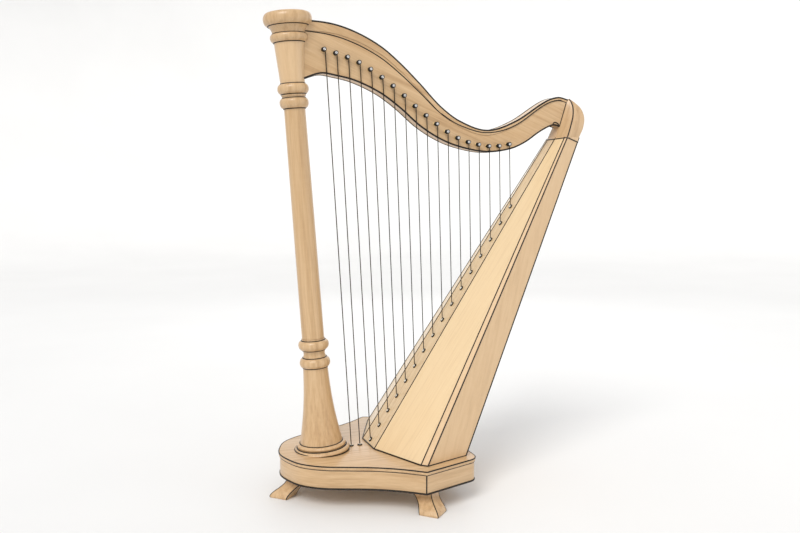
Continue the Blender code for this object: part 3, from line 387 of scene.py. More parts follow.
def wound_string():
    """Fine wire wound round a core: tight ribs along the string, with oxide between them."""
    finish = Finish("wound_string", metallic=0.5, specular=0.2)
    ribs = {"Vector": finish.place, "Scale": 420.0}
    ribs = finish.add("TexWave", "Fac", ribs, bands_direction="Z")
    stain = finish.noise(finish.place, 45.0, 3.0)
    colour = finish.ramp(ribs, (0.0, (0.015, 0.011, 0.008)), (0.8, (0.07, 0.048, 0.03)))
    colour = finish.mix(colour, (0.025, 0.019, 0.015), finish.spread(stain, 0.0, 0.6))
    return finish.paint(colour, finish.spread(stain, 0.3, 0.5), ribs, 0.5, 0.0002)


def plain_string():
    finish = Finish("plain_string", specular=0.2)
    cloud = finish.noise(finish.place, 70.0)
    fine = finish.noise(finish.place, 1400.0, 2.0)
    colour = finish.ramp(cloud, (0.35, (0.006, 0.005, 0.004)), (0.65, (0.022, 0.018, 0.014)))
    return finish.paint(colour, finish.spread(fine, 0.42, 0.6), fine, 0.15, 0.0001)


def bone():
    finish = Finish("eyelet_bone", coat=0.3)
    cloud = finish.noise(finish.place, 160.0)
    fine = finish.noise(finish.place, 900.0, 3.0)
    colour = finish.ramp(cloud, (0.35, (0.62, 0.55, 0.42)), (0.6, (0.86, 0.81, 0.7)))
    colour = finish.worn(colour, (0.92, 0.89, 0.8), 1.0, 0.55, 0.68)
    return finish.paint(colour, finish.spread(fine, 0.28, 0.44), fine, 0.12, 0.0001)


def pale_floor():
    finish = Finish("pale_floor")
    cloud = finish.noise(finish.place, 0.6, 3.0)
    fine = finish.noise(finish.place, 90.0, 3.0)
    colour = finish.ramp(cloud, (0.3, (0.8, 0.8, 0.795)), (0.7, (0.83, 0.83, 0.825)))
    return finish.paint(colour, finish.spread(fine, 0.62, 0.78))


BOX_SLOPE = math.atan2(BAND_HEAD[0] - BOX_FOOT["band"][0], BOX_TOP_Z - BASE_TOP_Z)
MAPLE_UPRIGHT = wood("maple_column", MAPLE, turn=(0, COLUMN_LEAN, 0), lines=75.0, figure=0.06)
MAPLE_ALONG = wood("maple_neck", MAPLE, turn=(0, math.radians(-112), 0), lines=60.0, figure=0.06)
MAPLE_SLOPED = wood("maple_sides", MAPLE, turn=(0, -BOX_SLOPE * 0.55, 0), lines=60.0, figure=0.08)
MAPLE_BASE = wood("maple_base", MAPLE, turn=(0, math.radians(-90), 0), lines=90.0)
MAPLE_BENT = wood("maple_bent", MAPLE, turn=(0, 0, 0), lines=110.0, squeeze=ROUND_BASE)
SPRUCE_SLOPED = wood("spruce_board", SPRUCE, turn=(0, -BOX_SLOPE, 0), lines=150.0)
EBONY = ebony()
STEEL = metal("pin_steel_bright", (0.72, 0.71, 0.69), (0.52, 0.51, 0.49), 0.24, 500.0)
BLUED = metal("pin_steel_blued", (0.05, 0.052, 0.058), (0.022, 0.022, 0.025), 0.32, 500.0)
BRASS = metal("bushing_brass", (0.8, 0.6, 0.28), (0.52, 0.36, 0.15), 0.28, 400.0)
BONE = bone()
WOUND = wound_string()
PLAIN = plain_string()


# Shapes

def circle(sides):
    """Cosine and sine of even steps once round."""
    angles = [2 * math.pi * index / sides for index in range(sides)]
    return [(math.cos(angle), math.sin(angle)) for angle in angles]


def shares(steps):
    """Even shares from 0 to 1."""
    return [step / steps for step in range(steps + 1)]


def skin(mesh, rings, caps=True, round_trip=False, material=0):
    """Quads between rings of equally many points, with a face over each end."""
    rows = [[mesh.verts.new(point) for point in ring] for ring in rings]
    pairs = list(zip(rows, rows[1:]))
    if round_trip:
        pairs.append((rows[-1], rows[0]))
    count = len(rows[0])
    for lower, upper in pairs:
        for index in range(count):
            after = (index + 1) % count
            face = mesh.faces.new((lower[index], lower[after], upper[after], upper[index]))
            face.material_index = material
    if caps and not round_trip:
        mesh.faces.new(list(reversed(rows[0])))
        mesh.faces.new(rows[-1])


def skinned(rings, **options):
    mesh = bmesh.new()
    skin(mesh, rings, **options)
    return mesh


def turned_rings(profile, sides, place=None):
    """Rings about Z through (height, radius) points."""
    matrix = place or Matrix.Identity(4)
    return [[matrix @ Vector((radius * x, radius * y, height)) for x, y in circle(sides)]
            for height, radius in profile]


def between(rows, share):
    """Point at share of the way along a smooth path through rows of equally many numbers."""
    last = len(rows) - 2
    spot = min(max(share, 0.0), 1.0) * (last + 1)
    index = min(int(spot), last)
    t = spot - index
    before = rows[max(0, index - 1)]
    after = rows[min(last + 1, index + 2)]
    mixed = []
    for a, b, c, d in zip(before, rows[index], rows[index + 1], after):
        mixed.append((2 * b + (c - a) * t + (2 * a - 5 * b + 4 * c - d) * t ** 2
                      + (3 * b - a - 3 * c + d) * t ** 3) / 2)
    return mixed


def smooth_height(points, x):
    """Height at x of a smooth curve through points that run along +X."""
    last = len(points) - 2
    index = max(0, min(last, sum(1 for point in points if point[0] <= x) - 1))
    x0, z0 = points[index]
    x1, z1 = points[index + 1]
    before = points[max(0, index - 1)]
    after = points[min(last + 1, index + 2)]
    slope0 = (z1 - before[1]) / (x1 - before[0])
    slope1 = (after[1] - z0) / (after[0] - x0)
    span = x1 - x0
    t = (x - x0) / span
    rise = z0 + (z1 - z0) * (3 * t ** 2 - 2 * t ** 3)
    return rise + span * (slope0 * (t ** 3 - 2 * t ** 2 + t) + slope1 * (t ** 3 - t ** 2))


def bend(start, corner, end, steps):
    """Points on a soft bend from start to end, drawn towards the corner between them."""
    return [start * (1 - t) ** 2 + corner * 2 * t * (1 - t) + end * t ** 2 for t in shares(steps)]


def rounded(corners, radii, steps=4):
    """Closed outline through 3D corners, each replaced by a bend that starts its radius away."""
    outline = []
    for index, corner in enumerate(corners):
        ends = []
        for neighbour in (corners[index - 1], corners[(index + 1) % len(corners)]):
            edge = neighbour - corner
            ends.append(corner + edge.normalized() * min(radii[index], edge.length * 0.45))
        outline += bend(ends[0], corner, ends[1], steps)
    return outline


def tube_rings(points, radii, sides):
    """Rings round a path, carried along it without twisting."""
    rings = []
    side = None
    for index, point in enumerate(points):
        ahead = points[min(index + 1, len(points) - 1)]
        behind = points[max(index - 1, 0)]
        along = (ahead - behind).normalized()
        if side is None:
            side = along.orthogonal().normalized()
        side = (side - along * side.dot(along)).normalized()
        up = along.cross(side)
        rings.append([point + (side * x + up * y) * radii[index] for x, y in circle(sides)])
    return rings


def shade(data, turn):
    data.shade_smooth()
    data.set_sharp_from_angle(angle=math.radians(turn))


def make_object(name, mesh, materials=(), shift=SHIFT_X):
    """Turns a bmesh into an object, moved from the column's foot into the frame."""
    bmesh.ops.recalc_face_normals(mesh, faces=mesh.faces)
    bmesh.ops.translate(mesh, vec=(shift, 0, 0), verts=mesh.verts)
    data = bpy.data.meshes.new(name)
    mesh.to_mesh(data)
    mesh.free()
    for material in materials:
        data.materials.append(material)
    return link(name, data)


def link(name, data):
    item = bpy.data.objects.new(name, data)
    bpy.context.scene.collection.objects.link(item)
    return item


def add_piece(name, mesh, materials, node=None, body=BODY, sharp=SHARP_TURN):
    """Turns a bmesh into a shown piece that rides on a body and may stand for a node."""
    item = make_object(name, mesh, materials)
    shade(item.data, sharp)
    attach(item, body)
    if node:
        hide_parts(node)
    return item


def add_lines(name, lines, loops=()):
    """One dark piece of slim round strips, open and closed, each given as its points and its radius."""
    mesh = bmesh.new()
    for points, radius in lines:
        path = [Vector(point) for point in points]
        skin(mesh, tube_rings(path, [radius] * len(path), LINE_SIDES))
    for points, radius in loops:
        path = [Vector(point) for point in points]
        path += path[:2]
        skin(mesh, tube_rings(path, [radius] * len(path), LINE_SIDES)[1:-1], round_trip=True)
    add_piece(name, mesh, [EBONY])


def drill(radius, low, high, place):
    """Round cutter along the place's Z, from low to high."""
    return make_object("cutter", skinned(turned_rings([(low, radius), (high, radius)], HOLE_SIDES, place)))


def cut(item, cutters):
    """Cuts closed meshes out of a piece for good."""
    for cutter in cutters:
        step = item.modifiers.new("cut", "BOOLEAN")
        step.operation = "DIFFERENCE"
        step.object = cutter
    bpy.context.view_layer.update()
    shape = item.evaluated_get(bpy.context.evaluated_depsgraph_get())
    data = bpy.data.meshes.new_from_object(shape)
    item.modifiers.clear()
    item.data = data
    shade(data, SHARP_TURN)
    for cutter in cutters:
        bpy.data.objects.remove(cutter, do_unlink=True)


# Column

def bead(start, end, swell, steps=14):
    """Rounded ring from start to end, each (height, radius), swelling out to a radius of swell."""
    points = []
    for share in shares(steps):
        angle = math.pi * share
        t = (1 - math.cos(angle)) / 2
        base = start[1] + (end[1] - start[1]) * t
        bulge = (swell - (start[1] + end[1]) / 2) * math.sin(angle)
        points.append((start[0] + (end[0] - start[0]) * t, base + bulge))
    return points


def hollow(start, end, depth, steps=12):
    """Concave sweep between two stations, drawn in by depth at the middle."""
    points = []
    for t in shares(steps):
        radius = start[1] + (end[1] - start[1]) * t - depth * math.sin(math.pi * t)
        points.append((start[0] + (end[0] - start[0]) * t, radius))
    return points


def eased(profile, ease=0.0008):
    """The profile with its two outer corners broken by a small chamfer."""
    low_height, low_radius = profile[0]
    high_height, high_radius = profile[-1]
    return ([(low_height, low_radius - ease), (low_height + ease, low_radius)] + profile[1:-1]
            + [(high_height - ease, high_radius), (high_height, high_radius - ease)])


def capital_profile():
    profile = [(CAPITAL_FOOT + FIT_GAP, 0.0363), (DRUM_TOP, 0.0458)]
    profile += bead((DRUM_TOP, 0.0458), (CAPITAL_BEAD_TOP, 0.0487), 0.0561)
    profile += hollow((CAPITAL_BEAD_TOP, 0.0487), (CROWN_FOOT, 0.0597), 0.003)
    profile += bead((CROWN_FOOT, 0.0597), (COLUMN_TOP - FIT_GAP, 0.0597), 0.0725, 20)
    return profile


def column_profiles():
    """Node name and (height, radius) profile of each turned length."""
    half = FIT_GAP / 2
    foot = [(COLUMN_ROOT, 0.084), (0.001, 0.0842)]
    foot += bead((0.0012, 0.0825), (PLINTH_TOP, 0.0712), 0.085)[5:]
    foot += bead((PLINTH_TOP + QUIRK, 0.071), (BELL_FOOT - half, 0.0675), 0.0755)
    bell = hollow((BELL_FOOT + half, 0.066), (LOWER_COLLAR_FOOT - half, 0.038), 0.0055, 30)
    lower = bead((LOWER_COLLAR_FOOT + half, 0.038), (WAIST_FOOT, 0.036), LOWER_BEAD_RADIUS)
    lower += hollow((WAIST_FOOT + QUIRK, 0.036), (WAIST_TOP - QUIRK, 0.035), 0.0025)
    lower += bead((WAIST_TOP, 0.035), (LOWER_FILLET_FOOT, 0.0363), LOWER_BEAD_RADIUS)
    lower += hollow((LOWER_FILLET_FOOT + QUIRK, 0.0363), (SHAFT_FOOT - half, 0.0358), 0.0004)
    shaft = hollow((SHAFT_FOOT + half, 0.0343), (UPPER_COLLAR_FOOT - half, 0.0318), 0.0, 20)
    fillet_middle = (UPPER_FILLET_FOOT + UPPER_FILLET_TOP) / 2
    upper = bead((UPPER_COLLAR_FOOT + half, 0.0328), (UPPER_FILLET_FOOT, 0.0348), 0.0432)
    upper += hollow((UPPER_FILLET_FOOT + QUIRK, 0.035), (fillet_middle - QUIRK, 0.0352), 0.0008, 6)
    upper += hollow((fillet_middle, 0.0368), (UPPER_FILLET_TOP - QUIRK, 0.0368), 0.0, 4)
    upper += bead((UPPER_FILLET_TOP, 0.0358), (CAPITAL_FOOT - half, 0.0363), 0.0468)
    return {"column_foot": foot, "column_bell": eased(bell), "column_lower_collar": lower,
            "column_shaft": eased(shaft), "column_upper_collar": upper, "column_capital": capital_profile()}


def column_rings(profile):
    return turned_rings(profile, COLUMN_SIDES, COLUMN_PLACE)


def settled(ring, height):
    """The ring laid on a level plane by sliding it along the column's axis."""
    axis = COLUMN_PLACE.to_3x3() @ Vector((0, 0, 1))
    return [point + axis * ((height - point.z) / axis.z) for point in ring]


def build_column():
    for name, profile in column_profiles().items():
        rings = column_rings(profile)
        if name == "column_foot":
            rings[0] = settled(rings[0], BASE_TOP_Z + FIT_GAP)
        add_piece(name + "_turned", skinned(rings), [MAPLE_UPRIGHT], name)


def build_column_lines():
    """Dark rings in the quirks between beads, and one round the plinth where it stands on the base."""
    spots = ((0.013, 0.0768), (BELL_FOOT, 0.0664), (LOWER_COLLAR_FOOT, 0.0384), (WAIST_FOOT, 0.0362),
             (WAIST_TOP, 0.0354), (LOWER_FILLET_FOOT, 0.0364), (UPPER_COLLAR_FOOT, 0.0326),
             (UPPER_FILLET_FOOT, 0.035), (UPPER_FILLET_TOP, 0.0366), (CAPITAL_FOOT, 0.0366),
             (DRUM_TOP, 0.0461), (CAPITAL_BEAD_TOP, 0.0489), (CROWN_FOOT, 0.06), (0.0, 0.0838))
    rings = column_rings(spots)
    rings[-1] = settled(rings[-1], BASE_TOP_Z + LINE_THIN)
    add_lines("column_inlay_rings", [], [(ring, LINE_THIN) for ring in rings])


# Base and feet

def drawn_in(outline, inset):
    """The level outline, anticlockwise from above, drawn in by inset at every corner."""
    inner = []
    for index, point in enumerate(outline):
        before = (point - outline[index - 1]).normalized()
        after = (outline[(index + 1) % len(outline)] - point).normalized()
        turn_before = Vector((-before.y, before.x, 0))
        turn_after = Vector((-after.y, after.x, 0))
        mitre = (turn_before + turn_after).normalized()
        inner.append(point + mitre * inset / mitre.dot(turn_after))
    return inner


def base_outline(inset):
    """Outline of the base drawn in by inset: rounded front, S-shaped flanks, corners and rounded back."""
    span = BASE_CORNER_X - BASE_FRONT_X
    flank = [(BASE_FRONT_X + along * span, across * BASE_HALF_WIDTH) for along, across in BASE_FLANK]
    guide = [(flank[1][0], -flank[1][1])] + flank
    half = []
    for index in range(len(flank) - 1):
        for step in range(FLANK_STEPS):
            x, y = between(guide, (index + 1 + step / FLANK_STEPS) / (len(guide) - 1))
            half.append(Vector((x, y, 0)))
    half.append(Vector((*flank[-1], 0)))
    radius = BASE_BACK_RADIUS
    centre = Vector((BASE_BACK_X - radius, BASE_BACK_HALF_WIDTH - radius * BASE_BACK_SETTING, 0))
    for share in shares(BACK_STEPS):
        angle = BASE_BACK_SWEEP * (1 - share)
        half.append(centre + Vector((math.cos(angle), math.sin(angle), 0)) * radius)
    mirror = [Vector((point.x, -point.y, 0)) for point in reversed(half[1:])]
    return drawn_in((half + mirror)[::-1], inset)


def base_rings(profile):
    return [[Vector((point.x, point.y, z)) for point in base_outline(inset)] for inset, z in profile]


def build_base():
    low = BASE_TOP_Z - BASE_TOP_THICKNESS
    top_profile = [(BASE_NOSE, low)]
    for share in shares(BASE_NOSE_STEPS)[1:-1]:
        angle = math.pi * share
        height = BASE_TOP_THICKNESS * (1 - math.cos(angle)) / 2
        top_profile.append((BASE_NOSE * (1 - math.sin(angle)), low + height))
    top_profile.append((BASE_NOSE, BASE_TOP_Z))
    mesh = skinned(base_rings(top_profile))
    top = add_piece("base_top_board", mesh, [MAPLE_BASE], "base_top")
    cut(top, [drill(EYELET_BORE, low - CUT_MARGIN, BASE_TOP_Z + CUT_MARGIN, Matrix.Translation((x, 0, 0)))
              for x in base_eyes()])

    high = low - FIT_GAP
    inner = BASE_OVERHANG + BASE_WALL
    floor = FOOT_HEIGHT + BASE_BOTTOM_THICKNESS
    arris = BASE_OVERHANG + BASE_ARRIS
    body_profile = [(BASE_OVERHANG + BASE_EASE, FOOT_HEIGHT), (arris, FOOT_HEIGHT + 0.0008),
                    (BASE_OVERHANG, FOOT_HEIGHT + BASE_EASE), (BASE_OVERHANG, high - BASE_ARRIS),
                    (arris, high), (inner, high), (inner, floor)]
    mesh = skinned(base_rings(body_profile))
    add_piece("base_body_shell", mesh, [MAPLE_BENT], "base_body")

    # Inset, height and radius of each dark line round the base
    edges = ((0.0012, BASE_TOP_Z - 0.0015, LINE_THIN), (BASE_OVERHANG, high + 0.0002, LINE_THIN),
             (BASE_OVERHANG + 0.0006, FOOT_HEIGHT + 0.0016, LINE_THICK))
    loops = [(base_rings([(inset, z)])[0], radius) for inset, z, radius in edges]
    lines = []
    for side in (-1, 1):
        corner = (BASE_CORNER_X, side * (BASE_HALF_WIDTH - BASE_OVERHANG - 0.0005))
        lines.append(([(*corner, FOOT_HEIGHT + 0.002), (*corner, high - BASE_ARRIS)], LINE_THIN))
    add_lines("base_bound_edges", lines, loops)


def build_feet():
    top = FOOT_HEIGHT - FIT_GAP
    lines = []
    for name, spot, direction in FEET:
        outward = Vector((*direction, 0))
        side = Vector((-outward.y, outward.x, 0))
        rings = []
        ridges = [[] for _ in range(4)]
        for share in shares(FOOT_STATIONS):
            rise, sweep, half = between(FOOT_SECTIONS, share)
            height = top * min(max(rise, 0.0), 1.0)
            centre = Vector((*spot, 0)) + outward * FOOT_SWEEP * sweep + Vector((0, 0, height))
            corners = [centre + reach * half for reach in (outward, side, -outward, -side)]
            rings.append(rounded(corners, [FOOT_EASE] * 4, 3))
            for path, corner in zip(ridges, corners):
                point = corner + (centre - corner).normalized() * FOOT_LINE_SET
                point.z = max(point.z, LINE_THIN)
                path.append(point)
        add_piece(name + "_carved", skinned(rings), [MAPLE_UPRIGHT], name)
        lines += [(path[2:-1], LINE_THIN * 0.8) for path in ridges]
    add_lines("foot_ridge_lines", lines)


# Soundbox

def box_head():
    corners = {"band": BAND_HEAD}
    last = "band"
    for key, width in HEAD_WIDTHS.items():
        run = Vector(BOX_FOOT[key]) - Vector(BOX_FOOT[last])
        corners[key] = tuple(Vector(corners[last]) + run.normalized() * width)
        last = key
    return corners


BOX_HEAD = box_head()


def box_corner(key, side, share):
    foot = BOX_FOOT[key]
    head = BOX_HEAD[key]
    low = Vector((foot[0], side * foot[1], BASE_TOP_Z + FIT_GAP))
    high = Vector((head[0], side * head[1], BOX_TOP_Z - FIT_GAP))
    return low.lerp(high, share)


def box_ring(levels):
    """Corners round the soundbox, each at its own level, a share of the height."""
    ring = [box_corner(key, -1, levels[key]) for key in BOX_FOOT]
    return ring + [box_corner(key, 1, levels[key]) for key in reversed(BOX_FOOT)]


def dress_soundbox():
    """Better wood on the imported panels, and bound edges along every long corner and round both ends."""
    woods = {"string_band": SPRUCE_SLOPED, "soundbox_back": MAPLE_SLOPED, "soundbox_brace": MAPLE_BASE}
    for side in ("left", "right"):
        woods["soundboard_" + side] = SPRUCE_SLOPED
        woods["side_" + side] = MAPLE_SLOPED
        woods["edge_moulding_" + side] = MAPLE_SLOPED
    for name, material in woods.items():
        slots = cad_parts[name].data.materials
        slots.clear()
        slots.append(material)
    lines = []
    for key in BOX_FOOT:
        radius = LINE_THICK if key == "back" else LINE_THIN
        for side in (-1, 1):
            path = []
            for share in shares(4):
                corner = box_corner(key, side, share)
                middle = Vector((box_corner("edge", side, share).x, 0, corner.z))
                path.append(corner + (middle - corner).normalized() * radius * LINE_SINK)
            lines.append((path, radius))
    loops = []
    for height, share in ((BASE_TOP_Z + LINE_THIN, 0.0), (BOX_TOP_Z - LINE_THIN, 1.0)):
        ring = box_ring(dict.fromkeys(BOX_FOOT, share))
        middle = sum(ring, Vector()) / len(ring)
        ring = [point + (middle - point).normalized() * LINE_THIN * LINE_SINK for point in ring]
        loops.append(([(point.x, point.y, height) for point in ring], LINE_THIN))
    add_lines("soundbox_bound_edges", lines, loops)


def build_sound_hole_rims():
    foot = Vector((BOX_FOOT["back"][0], 0, BASE_TOP_Z))
    head = Vector((BOX_HEAD["back"][0], 0, BOX_TOP_Z))
    along = (head - foot).normalized()
    normal = Vector((along.z, 0, -along.x))
    mesh = bmesh.new()
    for spot in SOUND_HOLE_SPOTS:
        size = 1 - SOUND_HOLE_SHRINK * spot
        rings = []
        for grow, rise in SOUND_HOLE_RIM:
            centre = foot.lerp(head, spot) + normal * rise
            length = along * (SOUND_HOLE_HALF_LENGTH * size + grow)
            width = Vector((0, SOUND_HOLE_HALF_WIDTH * size + grow, 0))
            rings.append([centre + length * x + width * y for x, y in circle(SOUND_HOLE_SIDES)])
        skin(mesh, rings, round_trip=True)
    add_piece("sound_hole_rims", mesh, [EBONY], sharp=50)


# Neck and shoulder

def seam_x(z):
    low, high = SEAM
    return low[0] + (high[0] - low[0]) * (z - low[1]) / (high[1] - low[1])


def cap_height(x):
    share = (x - NECK_START_X) / (NECK_TOP[-1][0] - NECK_START_X)
    return CAP_HEIGHT_AT_COLUMN + (CAP_HEIGHT_AT_SHOULDER - CAP_HEIGHT_AT_COLUMN) * share


def neck_stations():
    """Underside, joint line and top of the neck at each station, in the XZ plane."""
    stations = []
    top_end = NECK_TOP[-1][0] - FIT_GAP
    under_end = NECK_UNDER[-1][0]
    for share in shares(NECK_STATIONS):
        x = NECK_START_X + (top_end - NECK_START_X) * share
        low_x = NECK_START_X + (under_end - NECK_START_X) * share
        top = Vector((x, 0, smooth_height(NECK_TOP, x)))
        line = Vector((x, 0, top.z - cap_height(x)))
        under = Vector((low_x, 0, smooth_height(NECK_UNDER, low_x)))
        if share == 1:
            for point in (top, line, under):
                point.x = seam_x(point.z) - FIT_GAP
        stations.append((under, line, top))
    return stations


def neck_section(low, high, half, low_radius, high_radius):
    across = Vector((0, half, 0))
    corners = [low - across, low + across, high + across, high - across]
    return rounded(corners, [low_radius, low_radius, high_radius, high_radius], 5)


def curl_depth(x):
    """How far the carved hollow eats into the neck's lower edge at x."""
    offset = (x - CURL_X) / CURL_HALF_LENGTH
    return CURL_DEPTH * math.sqrt(1 - offset ** 2) if abs(offset) < 1 else 0.0


def capital_scoop():
    """Cutter that seats the neck round the capital."""
    profile = [(height, radius + FIT_GAP) for height, radius in capital_profile()]
    return make_object("cutter", skinned(column_rings(profile)))


def build_neck():
    stations = neck_stations()
    joint = Vector((0, 0, FIT_GAP / 2))
    low_edge, high_edge = NECK_EDGES
    rings = [neck_section(under, line - joint, NECK_HALF, low_edge + curl_depth(under.x), high_edge)
             for under, line, _ in stations]
    neck = add_piece("neck_carved", skinned(rings), [MAPLE_ALONG], "neck")
    cutters = [capital_scoop()]
    for x, z in pin_spots():
        place = Matrix.Translation((x, 0, z)) @ Matrix.Rotation(math.radians(90), 4, "X")
        reach = NECK_HALF + CUT_MARGIN
        cutters.append(drill(PIN_RADIUS + PIN_CLEARANCE, -reach, reach, place))
    cut(neck, cutters)
    rings = [neck_section(line + joint, top, CAP_HALF, *CAP_EDGES) for _, line, top in stations]
    cap = add_piece("neck_cap_moulded", skinned(rings), [MAPLE_ALONG], "neck_cap")
    cut(cap, [capital_scoop()])


def build_neck_lines():
    """Dark lines along the neck's top edge and its underside, and an inlay that follows the top edge."""
    lines = []
    stations = neck_stations()
    for side in (-1, 1):
        lines.append(([top + Vector((0, side * (CAP_HALF - TOP_LINE_SET), -TOP_LINE_SET))
                       for _, _, top in stations if top.x > TOP_LINE_START_X], LINE_THICK))
        inlay = []
        for _, joint, top in stations:
            if top.x >= INLAY_START_X:
                z = top.z - smooth_height(INLAY_DROP, top.x)
                half = CAP_HALF if z > joint.z else NECK_HALF
                inlay.append((top.x, side * (half - LINE_THIN * LINE_SINK), z))
        lines.append((inlay, LINE_THIN))
        lines.append(([under + Vector((0, side * (NECK_HALF - UNDER_LINE_SET), UNDER_LINE_SET))
                       for under, _, _ in stations if under.x > UNDER_LINE_START_X], LINE_THICK))
        curl = []
        for share in shares(16):
            x = CURL_X + CURL_HALF_LENGTH * (2 * share - 1)
            z = smooth_height(NECK_UNDER, x) + CURL_LINE_RISE + curl_depth(x) * CURL_LINE_SHARE
            curl.append((x, side * (NECK_HALF - 0.0004), z))
        lines.append((curl, LINE_THIN))
    add_lines("neck_bound_edges", lines)


def shoulder_rows():
    """Sections of the shoulder: z, front, ridge and back x, half widths there."""
    head = [BOX_HEAD[key] for key in ("band", "edge", "back")]
    rows = [(BOX_TOP_Z + FIT_GAP, *(x for x, _ in head), *(half for _, half in head))]
    return rows + [(row[0], seam_x(row[0]), *row[1:]) for row in SHOULDER]


def shoulder_corners(share):
    z, front, ridge, back, half_front, half_ridge, half_back = between(shoulder_rows(), share)
    if z > SEAM[0][1]:
        front = seam_x(z)
    left = [Vector((front, -half_front, z)), Vector((ridge, -half_ridge, z)), Vector((back, -half_back, z))]
    return left + [Vector((point.x, -point.y, z)) for point in reversed(left)]


def build_shoulder():
    rings = []
    ridges = ([], [])
    for share in shares(SHOULDER_STEPS):
        corners = shoulder_corners(share)
        low, high = SHOULDER_BACK_EASE
        eases = [SHOULDER_FRONT_EASE, SHOULDER_RIDGE_EASE, low + (high - low) * min(1.0, share / EASE_REACH)]
        rings.append(rounded(corners, eases + eases[::-1], 5))
        middle = Vector((sum(corner.x for corner in corners) / 6, 0, corners[0].z))
        for path, corner in zip(ridges, (corners[1], corners[4])):
            path.append(corner + (middle - corner).normalized() * SHOULDER_LINE_SET)
    add_piece("shoulder_carved", skinned(rings), [MAPLE_SLOPED], "shoulder_block")
    lines = [(path, LINE_THIN) for path in ridges]
    heights = [SEAM[0][1] + (SEAM[1][1] - SEAM[0][1]) * share for share in shares(8)]
    for side in (-1, 1):
        seam = [(seam_x(z) + FIT_GAP / 2, side * (NECK_HALF - LINE_THIN * 0.3), z) for z in heights]
        lines.append((seam, LINE_THIN))
    add_lines("shoulder_bound_edges", lines)


def build_cuff():
    """Slim maple collar over the head of the soundbox, peaked at its corners, with a dark lower edge."""
    top = box_ring(dict.fromkeys(BOX_FOOT, 1.0))
    spread = [grown - corner for grown, corner in zip(drawn_in(top, -CUFF_PROUD), top)]
    height = BOX_TOP_Z - BASE_TOP_Z
    lower = box_ring({key: 1.0 - (drop + CUFF_HEIGHT) / height for key, drop in CUFF_DROPS.items()})
    upper = [corner + Vector((0, 0, CUFF_LAP)) for corner in top]
    rings = [[corner + grow * share for corner, grow in zip(ring, spread)]
             for ring, share in ((lower, 1.0), (upper, 1.0), (upper, CUFF_INSIDE), (lower, CUFF_INSIDE))]
    add_piece("soundbox_head_cuff", skinned(rings, round_trip=True), [MAPLE_SLOPED])
    add_lines("soundbox_head_line", [], [(rings[-1], LINE_THIN)])


# Strings and pins

def pin_spots():
    spots = [PIN_FIRST_X + PIN_PITCH * index for index in range(STRING_COUNT)]
    return [(x, smooth_height(PIN_LINE, x)) for x in spots]


def base_eyes():
    return [BASE_EYE_FIRST_X + BASE_EYE_PITCH * index for index in range(BASE_STRING_COUNT)]


def string_ends():
    """Eyelet, outward normal and board depth for each string."""
    ends = [(Vector((x, 0, BASE_TOP_Z)), Vector((0, 0, 1)), BOARD_DEPTH["base"]) for x in base_eyes()]
    foot = Vector((BOX_FOOT["band"][0], 0, BASE_TOP_Z))
    head = Vector((BAND_HEAD[0], 0, BOX_TOP_Z))
    along = (head - foot).normalized()
    normal = Vector((-along.z, 0, along.x))
    for index in range(STRING_COUNT - BASE_STRING_COUNT):
        x = BAND_EYE_FIRST_X + BAND_EYE_PITCH * index + BAND_EYE_GROWTH * index * (index - 1) / 2
        ends.append((foot.lerp(head, (x - foot.x) / (head.x - foot.x)), normal, BOARD_DEPTH["band"]))
    return ends


def string_route(spot, eye, normal, radius, board):
    """Points and radii: winding on the pin, free length, soft bend into the eyelet, knot under the board."""
    reach = PIN_RADIUS + radius + WINDING_GAP
    pitch = 2 * radius + CORD_CLEARANCE
    rise = eye + normal * STRING_RISE
    drop = rise - Vector((spot[0], STRING_PLANE_Y, spot[1]))
    heading = math.atan2(drop.z, drop.x) + math.pi / 2
    points = []
    for index in range(WINDING_TURNS * WINDING_POINTS + 1):
        left = WINDING_TURNS - index / WINDING_POINTS
        angle = heading + 2 * math.pi * left
        y = STRING_PLANE_Y - pitch * left + pitch * WINDING_TURNS / 2
        points.append(Vector((spot[0] + reach * math.cos(angle), y, spot[1] + reach * math.sin(angle))))
    free = rise - points[-1]
    points += [points[-1] + free * share for share in (0.25, 0.5, 0.75)]
    points += bend(rise - free.normalized() * BEND_RUN, rise, eye - normal * BEND_SINK, 5)
    radii = [radius] * len(points)
    for depth, size in KNOT:
        points.append(eye - normal * (board + FIT_GAP + depth))
        radii.append(max(size, radius))
    return points, radii


def build_strings():
    for index, (spot, (eye, normal, board)) in enumerate(zip(pin_spots(), string_ends())):
        share = index / (STRING_COUNT - 1)
        radius = (STRING_THICKEST + (STRING_THINNEST - STRING_THICKEST) * share) / 2
        rings = tube_rings(*string_route(spot, eye, normal, radius, board), STRING_SIDES)
        cord = WOUND if index < WOUND_STRING_COUNT else PLAIN
        node = f"string_{index + 1:02d}"
        add_piece(node + "_strung", skinned(rings), [cord], node, sharp=60)


def build_eyelets():
    mesh = bmesh.new()
    for eye, normal, _ in string_ends():
        place = Matrix.Translation(eye) @ normal.to_track_quat("Z", "Y").to_matrix().to_4x4()
        for index, section in enumerate((EYELET_FLANGE, EYELET_LINER)):
            rings = turned_rings([(height, radius) for radius, height in section], EYELET_SIDES, place)
            skin(mesh, rings, round_trip=True, material=index)
    add_piece("string_eyelets", mesh, [EBONY, BONE], sharp=50)


def pin_ring(depth, size, square=False):
    """Ring about the pin's axis: a circle, or a square of that half width with slightly broken corners."""
    ring = []
    for x, z in circle(PIN_SIDES):
        reach = size * min(1 / max(abs(x), abs(z)), PIN_SQUARE_EASE) if square else size
        ring.append(Vector((reach * x, PIN_FRONT_Y + depth, reach * z)))
    return ring


